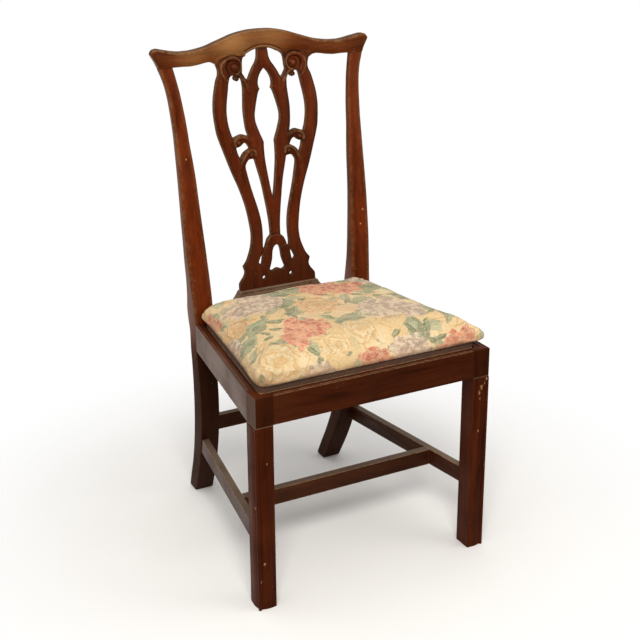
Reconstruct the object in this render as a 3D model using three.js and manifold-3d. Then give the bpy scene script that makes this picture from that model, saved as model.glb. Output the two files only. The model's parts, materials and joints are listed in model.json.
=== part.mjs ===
// A side chair with a shaped crest rail, a pierced back splat and a loose drop-in seat.
// Sizes are millimetres. x runs across the chair, y from front to back and z up from the floor.
// Left and right are as someone who faces the chair sees them.

import * as THREE from 'three';
import { mergeVertices } from 'three/addons/utils/BufferGeometryUtils.js';
import Module from 'manifold-3d';

const wasm = await Module();
wasm.setup();

// Overall sizes
const seatHeight = 430; // floor to the top of the seat rails
const frontWidth = 496; // across the front legs at the seat
const rearWidth = 406; // across the rear posts at the seat
const seatDepth = 380; // front of the front rail to the front of the rear posts
const backHeight = 504; // seat rails' top to the joint of post and crest rail
const crestRise = 59.5; // from that joint up to the top of the crest rail
const earReach = 14; // how far the crest rail's ends stand out past the posts
const backRakeDegrees = 9.03;
const backRake = Math.tan(THREE.MathUtils.degToRad(backRakeDegrees));

// Fits
const gap = 0.3; // between pieces that touch
const overrun = 6; // how far a cutting tool runs past what it cuts

// Seat rails
const railHeight = 57;
const frontRailThickness = 34;
const sideRailThickness = 32;
const lipWidth = 20; // the moulded lip round the loose seat
const ledgeDepth = 12; // from the rail top down to the ledge that carries the loose seat
const rearRailFront = 14; // how far the rear rail stands forward of the posts
const rearRailBack = 40; // how far its back lies behind the posts' front
// The lip's moulding: shares of the lip width inwards from the outer face and down from the rail top
const lipShares = [[0, 0.1], [0.03, 0.03], [0.1, 0], [0.21, 0], [0.24, 0.05], [0.27, 0.01], [0.6, 0.01],
  [0.64, 0.09], [0.95, 0.11], [1, 0.17]];

// Front legs
const legWidth = 34.5; // the plain block beside the rails
const legDepth = 37;
const legProud = 1.5; // how far the moulded shaft stands out from the block
const legLedge = 4; // from the rails' bottom edge down to the top of the shaft
// Half of the shaft's moulded face: shares of the leg width along the face and inwards from it
const legFaceShares = [[0.035, 0.017], [0.083, 0], [0.13, 0.011], [0.165, 0.044], [0.18, 0.083], [0.24, 0.072],
  [0.33, 0.053], [0.44, 0.025], [0.58, 0.006], [0.72, 0.006], [0.86, 0.019]];
const legCornerShare = 0.025;

// Rear legs with their posts
const postWidth = 40.5;
const postDepth = 31;
const postArris = 2.2; // the eased edges of the front
const postBackArris = 1.2;
const postBackRound = 6.5; // the posts' backs are rounded off above the seat
const postRoundShare = 0.45; // of the post's height, by which they are fully so
const footSplay = 98; // how far behind the post's front the foot stands
const footInset = 23.4; // how far the foot stands in from the post
const postFlare = 23; // how far the post's top stands out
const postBow = 7; // how far the post's front bows forward of a straight line
// Rows up the leg: shares of the seat height, the splay, the inset and the depth
const legRowShares = [[0, 1, 1, 0.87], [0.012, 0.97, 0.99, 1.06], [0.047, 0.885, 0.95, 1.12],
  [0.105, 0.75, 0.88, 1.18], [0.186, 0.577, 0.79, 1.19], [0.279, 0.413, 0.68, 1.2], [0.384, 0.255, 0.56, 1.25],
  [0.488, 0.133, 0.44, 1.27], [0.593, 0.051, 0.32, 1.25], [0.698, 0.012, 0.2, 1.17], [0.79, 0, 0.09, 1.07],
  [0.867, 0, 0, 1], [0.94, 0, 0, 1.02], [0.98, 0, 0, 1.15]];
// Rows up the post: shares of its height above the seat, the flare, the width and the depth
const postRowShares = [[0, 0, 1, 1.25], [0.04, 0.01, 1.02, 1.29], [0.08, 0.03, 1.03, 1.14],
  [0.12, 0.07, 1.045, 0.98], [0.18, 0.13, 1.05, 0.82], [0.26, 0.2, 1.04, 0.74], [0.34, 0.22, 1, 0.69],
  [0.42, 0.24, 0.96, 0.655], [0.5, 0.23, 0.91, 0.625], [0.58, 0.21, 0.86, 0.605], [0.66, 0.2, 0.78, 0.59],
  [0.73, 0.2, 0.71, 0.565], [0.81, 0.26, 0.68, 0.54], [0.85, 0.31, 0.655, 0.53], [0.89, 0.39, 0.645, 0.515],
  [0.93, 0.53, 0.65, 0.5], [0.96, 0.7, 0.68, 0.49], [1, 1, 0.75, 0.48]];

// Crest rail
const crestDepth = 23;
const crestTipDepth = 12;
const crestBow = 7; // how far its middle lies behind its ends, seen from above
const crestCrown = 1.2; // how far its rounded front stands out between its edges
const crestBreakShare = 0.33; // of its rise, above its lower edge, where that begins; its ease is never more
const crestEase = 5; // how far back the front's top edge is rounded
// Its top edge: shares of its half width and of its rise
const crestTopShares = [[0, 1], [0.083, 0.99], [0.165, 0.95], [0.248, 0.882], [0.33, 0.777], [0.413, 0.672],
  [0.496, 0.567], [0.578, 0.504], [0.661, 0.47], [0.723, 0.468], [0.785, 0.496], [0.826, 0.529], [0.888, 0.588],
  [0.942, 0.636], [0.975, 0.613], [1, 0.495]];
// Its lower edge over the two voids beside the splat's middle: shares of the splat's half width and height
const archShares = [[0.095, 1], [0.129, 0.999], [0.216, 0.989], [0.276, 0.984], [0.336, 0.977]];
// Its seam with the splat's shoulders, in the same shares
const seamShares = [[0.336, 0.977], [0.397, 0.975], [0.5, 0.976], [0.647, 0.976], [0.776, 0.972],
  [0.853, 0.962], [0.888, 0.948]];
// Its lower edge from the splat to the post: shares of the way between them and of its rise
const crestUnderShares = [[0.033, 0], [0.098, 0.05], [0.173, 0.067], [0.28, 0.05], [0.388, 0.02], [0.495, 0],
  [0.6, -0.012], [0.816, 0]];
// Its lower edge from the post to the tip: shares of the way and of its rise
const crestEarShares = [[0, 0], [0.29, 0.151], [0.51, 0.26], [0.72, 0.353], [1, 0.475]];

// Splat
const splatHalfWidth = 116;
const splatTopRise = 23; // how far its top stands above the joint of post and crest rail
const splatThickness = 9;
const splatSet = 6; // how far its face lies behind the posts' front at the top
const splatBelly = 19; // how much further behind it lies at the foot
const splatCurveSteps = 2; // for each point of a curve in the tables
// The right half of its outline, from the foot up: shares of its half width and of its height
const splatSideShares = [
  [[0.752, 0], [0.75, 0.021], [0.746, 0.028], [0.716, 0.039], [0.655, 0.058], [0.629, 0.076]],
  [[0.629, 0.076], [0.659, 0.101]],
  [[0.659, 0.101], [0.595, 0.12], [0.552, 0.14], [0.491, 0.181], [0.466, 0.222], [0.474, 0.264], [0.53, 0.347],
    [0.629, 0.429], [0.759, 0.511], [0.875, 0.594], [0.931, 0.635], [0.974, 0.676], [1, 0.748], [0.987, 0.8],
    [0.953, 0.841], [0.905, 0.882], [0.866, 0.903], [0.858, 0.924], [0.888, 0.948]],
];
const splatVoidShares = [
  [[0.336, 0.977], [0.384, 0.965], [0.401, 0.944], [0.405, 0.924], [0.414, 0.907], [0.388, 0.896],
    [0.358, 0.884], [0.315, 0.877]],
  [[0.315, 0.877], [0.259, 0.903], [0.207, 0.924], [0.147, 0.944], [0.112, 0.965], [0.103, 0.985], [0.095, 1]],
];
// The openings of the right half: between the strap and the middle strap
const upperOpeningShares = [
  [[0.603, 0.9], [0.655, 0.894], [0.681, 0.875], [0.707, 0.841], [0.741, 0.8], [0.763, 0.759],
    [0.759, 0.718], [0.728, 0.676], [0.685, 0.646]],
  [[0.685, 0.646], [0.603, 0.653], [0.517, 0.658], [0.431, 0.652], [0.392, 0.649]],
  [[0.392, 0.649], [0.422, 0.676], [0.44, 0.718], [0.444, 0.759], [0.431, 0.8], [0.418, 0.841], [0.427, 0.872]],
  [[0.427, 0.872], [0.448, 0.885], [0.484, 0.886], [0.496, 0.879], [0.534, 0.875], [0.573, 0.881],
    [0.582, 0.889], [0.565, 0.897], [0.603, 0.9]],
];
// Between the two middle scrolls
const scrollOpeningShares = [
  [[0.388, 0.597], [0.431, 0.615], [0.483, 0.623], [0.526, 0.616], [0.573, 0.609], [0.638, 0.606]],
  [[0.638, 0.606], [0.625, 0.588], [0.603, 0.573], [0.569, 0.556]],
  [[0.569, 0.556], [0.534, 0.573], [0.474, 0.586], [0.388, 0.597]],
];
// Below the lower scroll, down to the hoop
const lowerOpeningShares = [
  [[0.487, 0.515], [0.483, 0.531], [0.431, 0.549], [0.371, 0.553], [0.306, 0.55]],
  [[0.306, 0.55], [0.267, 0.511], [0.224, 0.47], [0.19, 0.429], [0.164, 0.388], [0.138, 0.347], [0.116, 0.306],
    [0.099, 0.264], [0.095, 0.22]],
  [[0.095, 0.22], [0.155, 0.206], [0.19, 0.188], [0.216, 0.171], [0.25, 0.161]],
  [[0.25, 0.161], [0.261, 0.181], [0.252, 0.222], [0.254, 0.264], [0.276, 0.306], [0.315, 0.347], [0.362, 0.388],
    [0.409, 0.429], [0.448, 0.47], [0.487, 0.515]],
];
// Beside the hoop's legs
const hoopSideShares = [
  [[0.276, 0.153], [0.353, 0.116], [0.345, 0.105], [0.302, 0.101], [0.272, 0.136], [0.276, 0.153]],
];
// Half of the long opening in the middle and half of the opening under the hoop
const middleOpeningShares = [
  [[0, 0.92], [0.034, 0.913], [0.078, 0.9], [0.116, 0.882], [0.134, 0.862], [0.125, 0.845], [0.108, 0.837]],
  [[0.108, 0.837], [0.147, 0.821], [0.198, 0.78], [0.237, 0.739], [0.241, 0.718], [0.228, 0.697], [0.168, 0.655],
    [0.134, 0.635], [0.108, 0.619]],
  [[0.108, 0.619], [0.112, 0.594], [0.108, 0.552], [0.091, 0.511], [0.043, 0.429], [0, 0.371]],
];
const hoopOpeningShares = [
  [[0, 0.177], [0.043, 0.172], [0.073, 0.159], [0.086, 0.14], [0.095, 0.12], [0.121, 0.097], [0.155, 0.074]],
  [[0.155, 0.074], [0.121, 0.067], [0.086, 0.065], [0.052, 0.069], [0, 0.073]],
];
const dropHoleShares = [0.267, 0.041];
const dropHoleRadius = 4;
const dropHoleSides = 8;
// Carved bosses on the right half: place in the splat's shares, then radius and height by name
const volutePlaceShares = [0.552, 0.934];
const voluteRadius = 16.5;
const voluteRidge = 5; // width of its raised rim
const voluteEye = 5.2;
const bossPlaceShares = [[0.595, 0.627], [0.362, 0.574], [0.534, 0.887]];
const bossRadius = 6.5;
const bossRise = 3;
const bossRimShare = 0.33; // of the ridge's width, which slopes on each side
const bossSides = 12;

// Shoe under the splat
const shoeHeight = 42; // seat rails' top to the splat's foot
const shoeMargin = 1.3; // how far its top stands out past each side of the splat
const shoeSpread = 29.5; // how much wider each side of its foot is
const shoeLead = 2.7; // how far its top stands in front of the splat
const shoeSweep = 22; // how much further forward its foot stands
const shoeTail = 2.8; // how far its top stands behind the splat
// Rows up the shoe: shares of its height, of the way from foot to top half width, and from foot to top front
const shoeShares = [[0, 0, 0], [0.14, 0.14, 0.09], [0.38, 0.37, 0.32], [0.62, 0.61, 0.59], [0.77, 0.78, 0.77],
  [0.87, 0.88, 0.93], [0.9, 0.9, 0.84], [0.95, 0.93, 0.89], [1, 1, 1]];

// Stretchers
const stretcherTop = 157;
const stretcherHeight = 34;
const sideStretcherThickness = 15;
const sideStretcherFront = 241; // outer face at the front legs
const sideStretcherRear = 187.5; // outer face at the rear legs
const medialFront = 143;
const medialThickness = 17;
const rearStretcherTop = 203;
const rearStretcherHeight = 32;
const rearStretcherThickness = 14.5;

// Tenons
const tenonThickness = 9;
const tenonShoulder = 8; // left above and below a rail's tenon
const railTenon = 20;
const sideRailTenon = 15;
const stretcherTenon = 11;
const stretcherShoulder = 4;
const medialTenon = 8;
const crestTenon = 16;
const crestTenonWidth = 16;
const crestTenonThickness = 7;
const splatTongue = 12;
const splatTongueThickness = 5;
const splatTongueShares = [0.47, 0.76]; // where the upper tongues start and end across the half width
const footTongueShare = 0.66;

// Corner blocks and their screws
const blockLeg = 54; // along the side rail
const blockReach = 52; // along the front or rear rail
const blockHeight = 28;
const blockDrop = 3; // below the ledge
const screwRadius = 2.2;
const screwHeadRadius = 4.5;
const screwHeadHeight = 2.6;
const screwLength = 34;
const screwGrip = 14; // how deep it runs into the rail
const screwSides = 8;
const screwSpacingShares = [0.42, 0.74]; // where the two screws stand along the block
const counterboreRadius = 5.2;

// Loose seat
const seatPlay = 2.5; // between its wooden frame and the lips
const seatBarWidth = 45;
const seatBarHeight = 15;
const coverThickness = 1;
const hemWidth = 24;
const barTenon = 14;
const barTenonThickness = 5;
const webWidth = 50;
const webThickness = 1.5;
const webEndMargin = 9; // from the frame's edge to a strap's end
const webPlaceShares = [-0.27, 0, 0.27]; // of the seat's mean width or depth from its middle
const burlapThickness = 0.8;
const burlapMargin = 5;
const crownHeight = 61; // from the rail top to the top of the cushion
const seatCornerRadius = 10;
const rearBulge = 2; // how far the cover stands out at the back, where the posts are
const waistShare = 0.62; // how much of its bulge each other side loses by its middle
// The cover's profile, from the hem up: shares of the bulge outwards and of the crown height from the rail top
const coverBulge = 15;
const coverShares = [[0.09, -0.17], [0.09, 0], [0.35, 0.082], [0.8, 0.164], [1, 0.295], [0.9, 0.426],
  [0.45, 0.557], [-0.4, 0.672]];
// The crown inside that: shares of the way out from the middle and of the last rise
const crownShares = [[0.93, 0.25], [0.84, 0.5], [0.66, 0.775], [0.46, 0.9], [0.24, 0.975]];
const cornerSteps = 4;
const edgeSteps = 4;

// Tacks
const tackHeadRadius = 4;
const tackHeadHeight = 0.8;
const tackShank = 1.5; // across its square shank
const tackLength = 9;
const tackSides = 6;
const coverTackInset = 18; // from the frame's edge
const coverTackShares = [-0.36, 0, 0.36]; // along each edge of the seat

// Heights and places that follow from those sizes
const halfFront = frontWidth / 2;
const halfRear = rearWidth / 2;
const postTop = seatHeight + backHeight;
const crestHalfWidth = halfRear + postFlare + earReach;
const splatFoot = seatHeight + shoeHeight;
const splatHeight = postTop + splatTopRise - splatFoot;
const railBottom = seatHeight - railHeight;
const ledgeHeight = seatHeight - ledgeDepth;
const legInner = halfFront - legWidth;
const postInner = halfRear - postWidth;
const rearRailStart = seatDepth - rearRailFront;
const rearRailEnd = seatDepth + rearRailBack;

const wood = new THREE.MeshStandardMaterial({ color: 0x5c2413, roughness: 0.42, metalness: 0 });
const crestWood = new THREE.MeshStandardMaterial({ color: 0x6e2f19, roughness: 0.4, metalness: 0 });
const innerWood = new THREE.MeshStandardMaterial({ color: 0xa8845a, roughness: 0.8, metalness: 0 });
const jute = new THREE.MeshStandardMaterial({ color: 0xa38a5e, roughness: 0.95, metalness: 0 });
const hair = new THREE.MeshStandardMaterial({ color: 0xd8cdb4, roughness: 1, metalness: 0 });
const cloth = new THREE.MeshStandardMaterial({ color: 0xe0c390, roughness: 0.9, metalness: 0 });
const steel = new THREE.MeshStandardMaterial({ color: 0x8a8782, roughness: 0.4, metalness: 0.9 });

// Solids from points

function welded(geometry) {
  const bare = geometry.clone();
  bare.deleteAttribute('normal');
  bare.deleteAttribute('uv');
  return mergeVertices(bare);
}

function signedVolume(geometry) {
  const corners = [new THREE.Vector3(), new THREE.Vector3(), new THREE.Vector3()];
  let total = 0;
  for (let face = 0; face < geometry.index.count; face += 3) {
    corners.forEach((corner, at) => {
      corner.fromBufferAttribute(geometry.attributes.position, geometry.index.getX(face + at));
    });
    total += corners[0].dot(corners[1].clone().cross(corners[2])) / 6;
  }
  return total;
}

function facingOut(geometry) {
  const body = welded(geometry);
  if (signedVolume(body) < 0) {
    for (let face = 0; face < body.index.count; face += 3) {
      const second = body.index.getX(face + 1);
      body.index.setX(face + 1, body.index.getX(face + 2));
      body.index.setX(face + 2, second);
    }
  }
  return body;
}

function mirrored(geometry) {
  return facingOut(geometry.clone().scale(-1, 1, 1));
}

// The triangles of a closed ring of points, wound the way the ring runs
function ringFaces(ring) {
  const normal = new THREE.Vector3();
  ring.forEach((point, at) => normal.add(point.clone().cross(ring[(at + 1) % ring.length])));
  const across = new THREE.Vector3(1, 0, 0);
  if (Math.abs(normal.x) > Math.max(Math.abs(normal.y), Math.abs(normal.z))) {
    across.set(0, 1, 0);
  }
  const up = normal.clone().cross(across).normalize();
  across.copy(up).cross(normal).normalize();
  const flat = ring.map((point) => new THREE.Vector2(point.dot(across), point.dot(up)));
  return THREE.ShapeUtils.triangulateShape(flat, []).map(([a, b, c]) => {
    const turn = flat[b].clone().sub(flat[a]).cross(flat[c].clone().sub(flat[a]));
    return turn > 0 ? [a, b, c] : [a, c, b];
  });
}

// One closed body through rings of points, which all have the same number of them; its ends are
// fans from their middles where a ring has points along straight sides
function loft(rings, fanned = false) {
  const count = rings[0].length;
  const faces = [];
  for (let ring = 0; ring + 1 < rings.length; ring += 1) {
    for (let step = 0; step < count; step += 1) {
      const here = ring * count + step;
      const beside = ring * count + (step + 1) % count;
      faces.push(here, beside, beside + count, here, beside + count, here + count);
    }
  }
  const last = (rings.length - 1) * count;
  const points = rings.flat();
  if (fanned) {
    [rings[0], rings.at(-1)].forEach((ring) => points.push(ring
      .reduce((sum, point) => sum.add(point), new THREE.Vector3()).divideScalar(count)));
    rings[0].forEach((_, at) => {
      const beside = (at + 1) % count;
      faces.push(beside, at, last + count, last + at, last + beside, last + count + 1);
    });
  } else {
    ringFaces(rings[0]).forEach(([a, b, c]) => faces.push(a, c, b));
    ringFaces(rings.at(-1)).forEach(([a, b, c]) => faces.push(last + a, last + b, last + c));
  }
  const geometry = new THREE.BufferGeometry().setFromPoints(points);
  geometry.setIndex(faces);
  return facingOut(geometry);
}

function box(xs, ys, zs) {
  const size = [xs, ys, zs].map(([low, high]) => high - low);
  const middle = [xs, ys, zs].map(([low, high]) => (low + high) / 2);
  return new THREE.BoxGeometry(...size).translate(...middle);
}

function grown([low, high], by = gap) {
  return [low - by, high + by];
}

function mortise([xs, ys, zs]) {
  return box(grown(xs), grown(ys), grown(zs));
}

function solidOf(geometry) {
  const body = facingOut(geometry);
  const vertProperties = new Float32Array(body.attributes.position.array);
  const triVerts = new Uint32Array(body.index.array);
  return new wasm.Manifold(new wasm.Mesh({ numProp: 3, vertProperties, triVerts }));
}

function geometryOf(solid) {
  const mesh = solid.getMesh();
  const geometry = new THREE.BufferGeometry();
  geometry.setAttribute('position', new THREE.BufferAttribute(mesh.vertProperties, 3));
  geometry.setIndex(new THREE.BufferAttribute(mesh.triVerts, 1));
  return geometry;
}

function joined(first, ...others) {
  return geometryOf(others.reduce((solid, other) => solid.add(solidOf(other)), solidOf(first)));
}

function cut(first, ...tools) {
  return geometryOf(tools.reduce((solid, tool) => solid.subtract(solidOf(tool)), solidOf(first)));
}

function common(first, second) {
  return geometryOf(solidOf(first).intersect(solidOf(second)));
}

const chair = new THREE.Group();

function addPiece(name, geometry, material) {
  const faceted = geometry.index ? geometry.toNonIndexed() : geometry.clone();
  faceted.computeVertexNormals();
  const mesh = new THREE.Mesh(faceted, material);
  mesh.name = name;
  chair.add(mesh);
}

function addPair(name, geometry, material) {
  addPiece(`right_${name}`, geometry, material);
  addPiece(`left_${name}`, mirrored(geometry), material);
}

// Values between the rows of a table, whose first column rises
function between(rows, at, column) {
  const next = rows.findIndex((row) => row[0] >= at);
  if (next <= 0) {
    return rows.at(next === 0 ? 0 : -1)[column];
  }
  const [low, high] = [rows[next - 1], rows[next]];
  const share = (at - low[0]) / (high[0] - low[0]);
  return low[column] + share * (high[column] - low[column]);
}

// Seat rails

function sideFace(y) {
  const share = (y - legDepth) / (seatDepth - legDepth);
  return halfFront + share * (halfRear - halfFront);
}

// A rail's section, as pairs of distance in from the outer face and height
function railSection(thickness) {
  const lip = lipShares.map(([inShare, downShare]) => [lipWidth * inShare, seatHeight - lipWidth * downShare]);
  return [[0, railBottom], ...lip, [lipWidth, ledgeHeight], [thickness, ledgeHeight], [thickness, railBottom]];
}

const railTenonHeights = [railBottom + tenonShoulder, ledgeHeight - tenonShoulder];
const frontTenonInset = 11; // from the front face to the front rail's tenon
const sideTenonInset = 18; // from the outer face to a side rail's tenon
const rearTenonInset = 22; // from the posts' front to the rear rail's tenon

const frontTenon = [[legInner - overrun, legInner + railTenon],
  [frontTenonInset, frontTenonInset + tenonThickness], railTenonHeights];
const sideFrontTenon = [[halfFront - sideTenonInset - tenonThickness, halfFront - sideTenonInset],
  [legDepth - sideRailTenon, legDepth + overrun], railTenonHeights];
const sideRearTenon = [[halfRear - sideTenonInset - tenonThickness, halfRear - sideTenonInset],
  [seatDepth - overrun, seatDepth + sideRailTenon], railTenonHeights];
const rearTenon = [[postInner - overrun, postInner + railTenon],
  [seatDepth + rearTenonInset, seatDepth + rearTenonInset + tenonThickness], railTenonHeights];

function buildFrontRail() {
  const ring = (x) => railSection(frontRailThickness).map(([inwards, z]) => new THREE.Vector3(x, inwards, z));
  const rail = loft([ring(gap - legInner), ring(legInner - gap)]);
  const tenon = box(...frontTenon);
  return cut(joined(rail, tenon, mirrored(tenon)), ...frontScrewHoles(), ...frontScrewHoles().map(mirrored));
}

function buildSideRail() {
  const ring = (y) => railSection(sideRailThickness)
    .map(([inwards, z]) => new THREE.Vector3(sideFace(y) - inwards, y, z));
  const rail = loft([ring(legDepth + gap), ring(seatDepth - gap)]);
  return joined(rail, box(...sideFrontTenon), box(...sideRearTenon));
}

function buildRearRail() {
  const half = postInner - gap;
  const body = box([-half, half], [rearRailStart, rearRailEnd], [railBottom, seatHeight]);
  const ledge = box([-halfRear, halfRear], [rearRailStart - overrun, seatDepth - gap],
    [ledgeHeight, seatHeight + overrun]);
  const tenon = box(...rearTenon);
  const rail = joined(cut(body, ledge), tenon, mirrored(tenon));
  return cut(rail, ...rearScrewHoles(), ...rearScrewHoles().map(mirrored));
}

// Front legs

function legShaftOutline() {
  const along = legFaceShares.map(([alongShare, inShare]) => [legWidth * alongShare, legWidth * inShare]);
  const corner = legWidth * legCornerShare;
  const side = along.map(([a, b]) => [b, a]).reverse();
  const innerX = legWidth + legProud;
  const innerY = legDepth + 2 * legProud;
  return [...side.map(([a, b]) => [a, b]), [corner, corner], ...along, [innerX, legProud], [innerX, innerY],
    [legProud, innerY]];
}

function buildFrontLeg() {
  const blockFoot = railBottom - legLedge;
  const place = (x, y, z) => new THREE.Vector3(halfFront + legProud - x, y - legProud, z);
  const shaftRing = (z) => legShaftOutline().map(([x, y]) => place(x, y, z));
  const shaft = loft([shaftRing(0), shaftRing(blockFoot)]);
  const lip = railSection(legWidth).slice(1, -2);
  const section = [[0, blockFoot - overrun], ...lip, [lipWidth, blockFoot - overrun]];
  const mitre = section.map(([inwards, z]) => new THREE.Vector3(halfFront - inwards, inwards, z));
  const frontEnd = section.map(([inwards, z]) => new THREE.Vector3(legInner, inwards, z));
  const sideEnd = section.map(([inwards, z]) => new THREE.Vector3(halfFront - inwards, legDepth, z));
  const core = box([legInner, halfFront - lipWidth / 2], [lipWidth / 2, legDepth],
    [blockFoot - overrun, ledgeHeight]);
  const leg = joined(shaft, loft([frontEnd, mitre, sideEnd]), core);
  return cut(leg, mortise(frontTenon), mortise(sideFrontTenon), mortise(sideStretcherTenons.front));
}

// Rear legs with their posts

function postFront(z) {
  const share = (z - seatHeight) / (postTop - seatHeight);
  return seatDepth + (z - seatHeight) * backRake - postBow * Math.sin(Math.PI * share);
}

function postRing(outer, width, front, depth, z) {
  const inner = outer - width;
  const back = front + depth;
  const rounding = Math.max(0, (z - seatHeight) / (postTop - seatHeight) / postRoundShare);
  const ease = postBackArris + (postBackRound - postBackArris) * Math.min(1, rounding);
  const corners = [[inner + postArris, front], [outer - postArris, front], [outer, front + postArris],
    [outer, back - ease], [outer - ease, back], [inner + ease, back], [inner, back - ease],
    [inner, front + postArris]];
  return corners.map(([x, y]) => new THREE.Vector3(x, y, z));
}

function postRings() {
  const leg = legRowShares.map(([heightShare, splayShare, insetShare, depthShare]) => postRing(
    halfRear - footInset * insetShare, postWidth, seatDepth + footSplay * splayShare, postDepth * depthShare,
    seatHeight * heightShare));
  const post = postRowShares.map(([heightShare, flareShare, widthShare, depthShare]) => {
    const z = seatHeight + (postTop - seatHeight) * heightShare;
    const outer = halfRear + postFlare * flareShare;
    return postRing(outer, postWidth * widthShare, postFront(z), postDepth * depthShare, z);
  });
  return [...leg, ...post];
}

function crestTenonBlock() {
  const [, flareShare, widthShare, depthShare] = postRowShares.at(-1);
  const middleX = halfRear + postFlare * flareShare - postWidth * widthShare / 2;
  const middleY = postFront(postTop) + postDepth * depthShare / 2;
  return [[middleX - crestTenonWidth / 2, middleX + crestTenonWidth / 2],
    [middleY - crestTenonThickness / 2, middleY + crestTenonThickness / 2],
    [postTop - overrun, postTop + crestTenon]];
}

function buildPost() {
  const post = joined(loft(postRings()), box(...crestTenonBlock()));
  return cut(post, mortise(sideRearTenon), mortise(rearTenon), mortise(sideStretcherTenons.rear),
    mortise(rearStretcherTenon));
}

// Where the rear leg's middle and its faces lie at a height below the seat
function rearLegAt(z) {
  const share = z / seatHeight;
  const outer = halfRear - footInset * between(legRowShares, share, 2);
  const front = seatDepth + footSplay * between(legRowShares, share, 1);
  return { outer, inner: outer - postWidth, front, depth: postDepth * between(legRowShares, share, 3) };
}

// Stretchers

const stretcherHeights = [stretcherTop - stretcherHeight, stretcherTop];
const stretcherTenonHeights = [stretcherHeights[0] + stretcherShoulder,
  stretcherHeights[1] - stretcherShoulder];
const legBack = legDepth + legProud;
const stretcherLeg = rearLegAt(stretcherTop);

function stretcherFace(y) {
  const share = (y - legBack) / (stretcherLeg.front - legBack);
  return sideStretcherFront + share * (sideStretcherRear - sideStretcherFront);
}

const tenonSide = (sideStretcherThickness - tenonThickness) / 2;
const stretcherRearReach = rearLegAt(stretcherHeights[0]).front;
const sideStretcherTenons = {
  front: [[sideStretcherFront - tenonSide - tenonThickness, sideStretcherFront - tenonSide],
    [legBack - stretcherTenon, legBack + overrun], stretcherTenonHeights],
  rear: [[sideStretcherRear - tenonSide - tenonThickness, sideStretcherRear - tenonSide],
    [stretcherLeg.front - overrun, stretcherRearReach + stretcherTenon], stretcherTenonHeights],
};
const medialMiddle = medialFront + medialThickness / 2;
const medialReach = stretcherFace(medialMiddle) - sideStretcherThickness;
const medialTenonBlock = [[-medialReach - medialTenon, medialReach + medialTenon],
  [medialMiddle - tenonThickness / 2, medialMiddle + tenonThickness / 2], stretcherTenonHeights];

// The side stretcher's rear end follows the sloping front of the rear leg
function buildSideStretcher() {
  const ring = (inwards) => {
    const x = (y) => stretcherFace(y) - inwards;
    const start = legBack + gap;
    const [low, high] = stretcherHeights;
    const corners = [[start, low], [stretcherRearReach - gap, low], [stretcherLeg.front - gap, high],
      [start, high]];
    return corners.map(([y, z]) => new THREE.Vector3(x(y), y, z));
  };
  const body = loft([ring(0), ring(sideStretcherThickness)]);
  const whole = joined(body, box(...sideStretcherTenons.front), box(...sideStretcherTenons.rear));
  return cut(whole, mortise(medialTenonBlock));
}

function buildMedialStretcher() {
  const ring = (side) => [medialFront, medialFront + medialThickness].flatMap((y, back) => {
    const x = side * (stretcherFace(y) - sideStretcherThickness - gap);
    const heights = back ? [...stretcherHeights].reverse() : stretcherHeights;
    return heights.map((z) => new THREE.Vector3(x, y, z));
  });
  return joined(loft([ring(-1), ring(1)]), box(...medialTenonBlock));
}

const rearStretcherLeg = rearLegAt(rearStretcherTop - rearStretcherHeight / 2);
const rearStretcherMiddle = rearStretcherLeg.front + rearStretcherLeg.depth / 2;
const rearStretcherHeights = [rearStretcherTop - rearStretcherHeight, rearStretcherTop];
const rearStretcherInner = rearLegAt(rearStretcherHeights[0]).inner;
const rearStretcherTenon = [[-rearStretcherInner - stretcherTenon, rearStretcherInner + stretcherTenon],
  [rearStretcherMiddle - tenonThickness / 2, rearStretcherMiddle + tenonThickness / 2],
  [rearStretcherHeights[0] + stretcherShoulder, rearStretcherHeights[1] - stretcherShoulder]];

// Its ends follow the legs, which lean in towards the floor
function buildRearStretcher() {
  const halfThickness = rearStretcherThickness / 2;
  const ring = (side) => rearStretcherHeights.flatMap((z, top) => {
    const x = side * (rearLegAt(z).inner - gap);
    const places = [rearStretcherMiddle - halfThickness, rearStretcherMiddle + halfThickness];
    return (top ? places.reverse() : places).map((y) => new THREE.Vector3(x, y, z));
  });
  return joined(loft([ring(-1), ring(1)]), box(...rearStretcherTenon));
}

// Crest rail

const onSplat = ([xShare, zShare]) => [splatHalfWidth * xShare, splatFoot + splatHeight * zShare];
const onCrest = (from, to) => ([share, riseShare]) => [from + (to - from) * share,
  postTop + gap + crestRise * riseShare];

function crestUnderRows() {
  const top = splatFoot + splatHeight;
  const seam = [...archShares.slice(0, -1), ...seamShares].map(onSplat).map(([x, z]) => [x, z + gap]);
  const [, flareShare, widthShare] = postRowShares.at(-1);
  const postOuter = halfRear + postFlare * flareShare;
  const under = crestUnderShares.map(onCrest(seam.at(-1)[0], postOuter - postWidth * widthShare));
  const ear = crestEarShares.map(onCrest(postOuter - postArris, crestHalfWidth));
  return [[0, top + gap], ...seam, ...under, ...ear];
}

function crestFace(x, z) {
  const share = x / halfRear;
  return seatDepth + (z - seatHeight) * backRake + crestBow * (1 - share * share);
}

function crestRing(x, under, top) {
  const tipShare = Math.max(0, (Math.abs(x) - halfRear) / (crestHalfWidth - halfRear));
  const depth = crestDepth + tipShare * (crestTipDepth - crestDepth);
  const rise = top - under;
  const ease = Math.min(crestEase, rise * crestBreakShare);
  const half = ease / 2;
  const front = [[0, under], [-crestCrown, under + rise * crestBreakShare], [-crestCrown, top - ease - half],
    [0, top - half]];
  const section = [...front, [half, top], [depth - ease, top], [depth, top - ease], [depth, under + half],
    [depth - half, under]];
  return section.map(([back, z]) => new THREE.Vector3(x, crestFace(x, z) + back, z));
}

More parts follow.
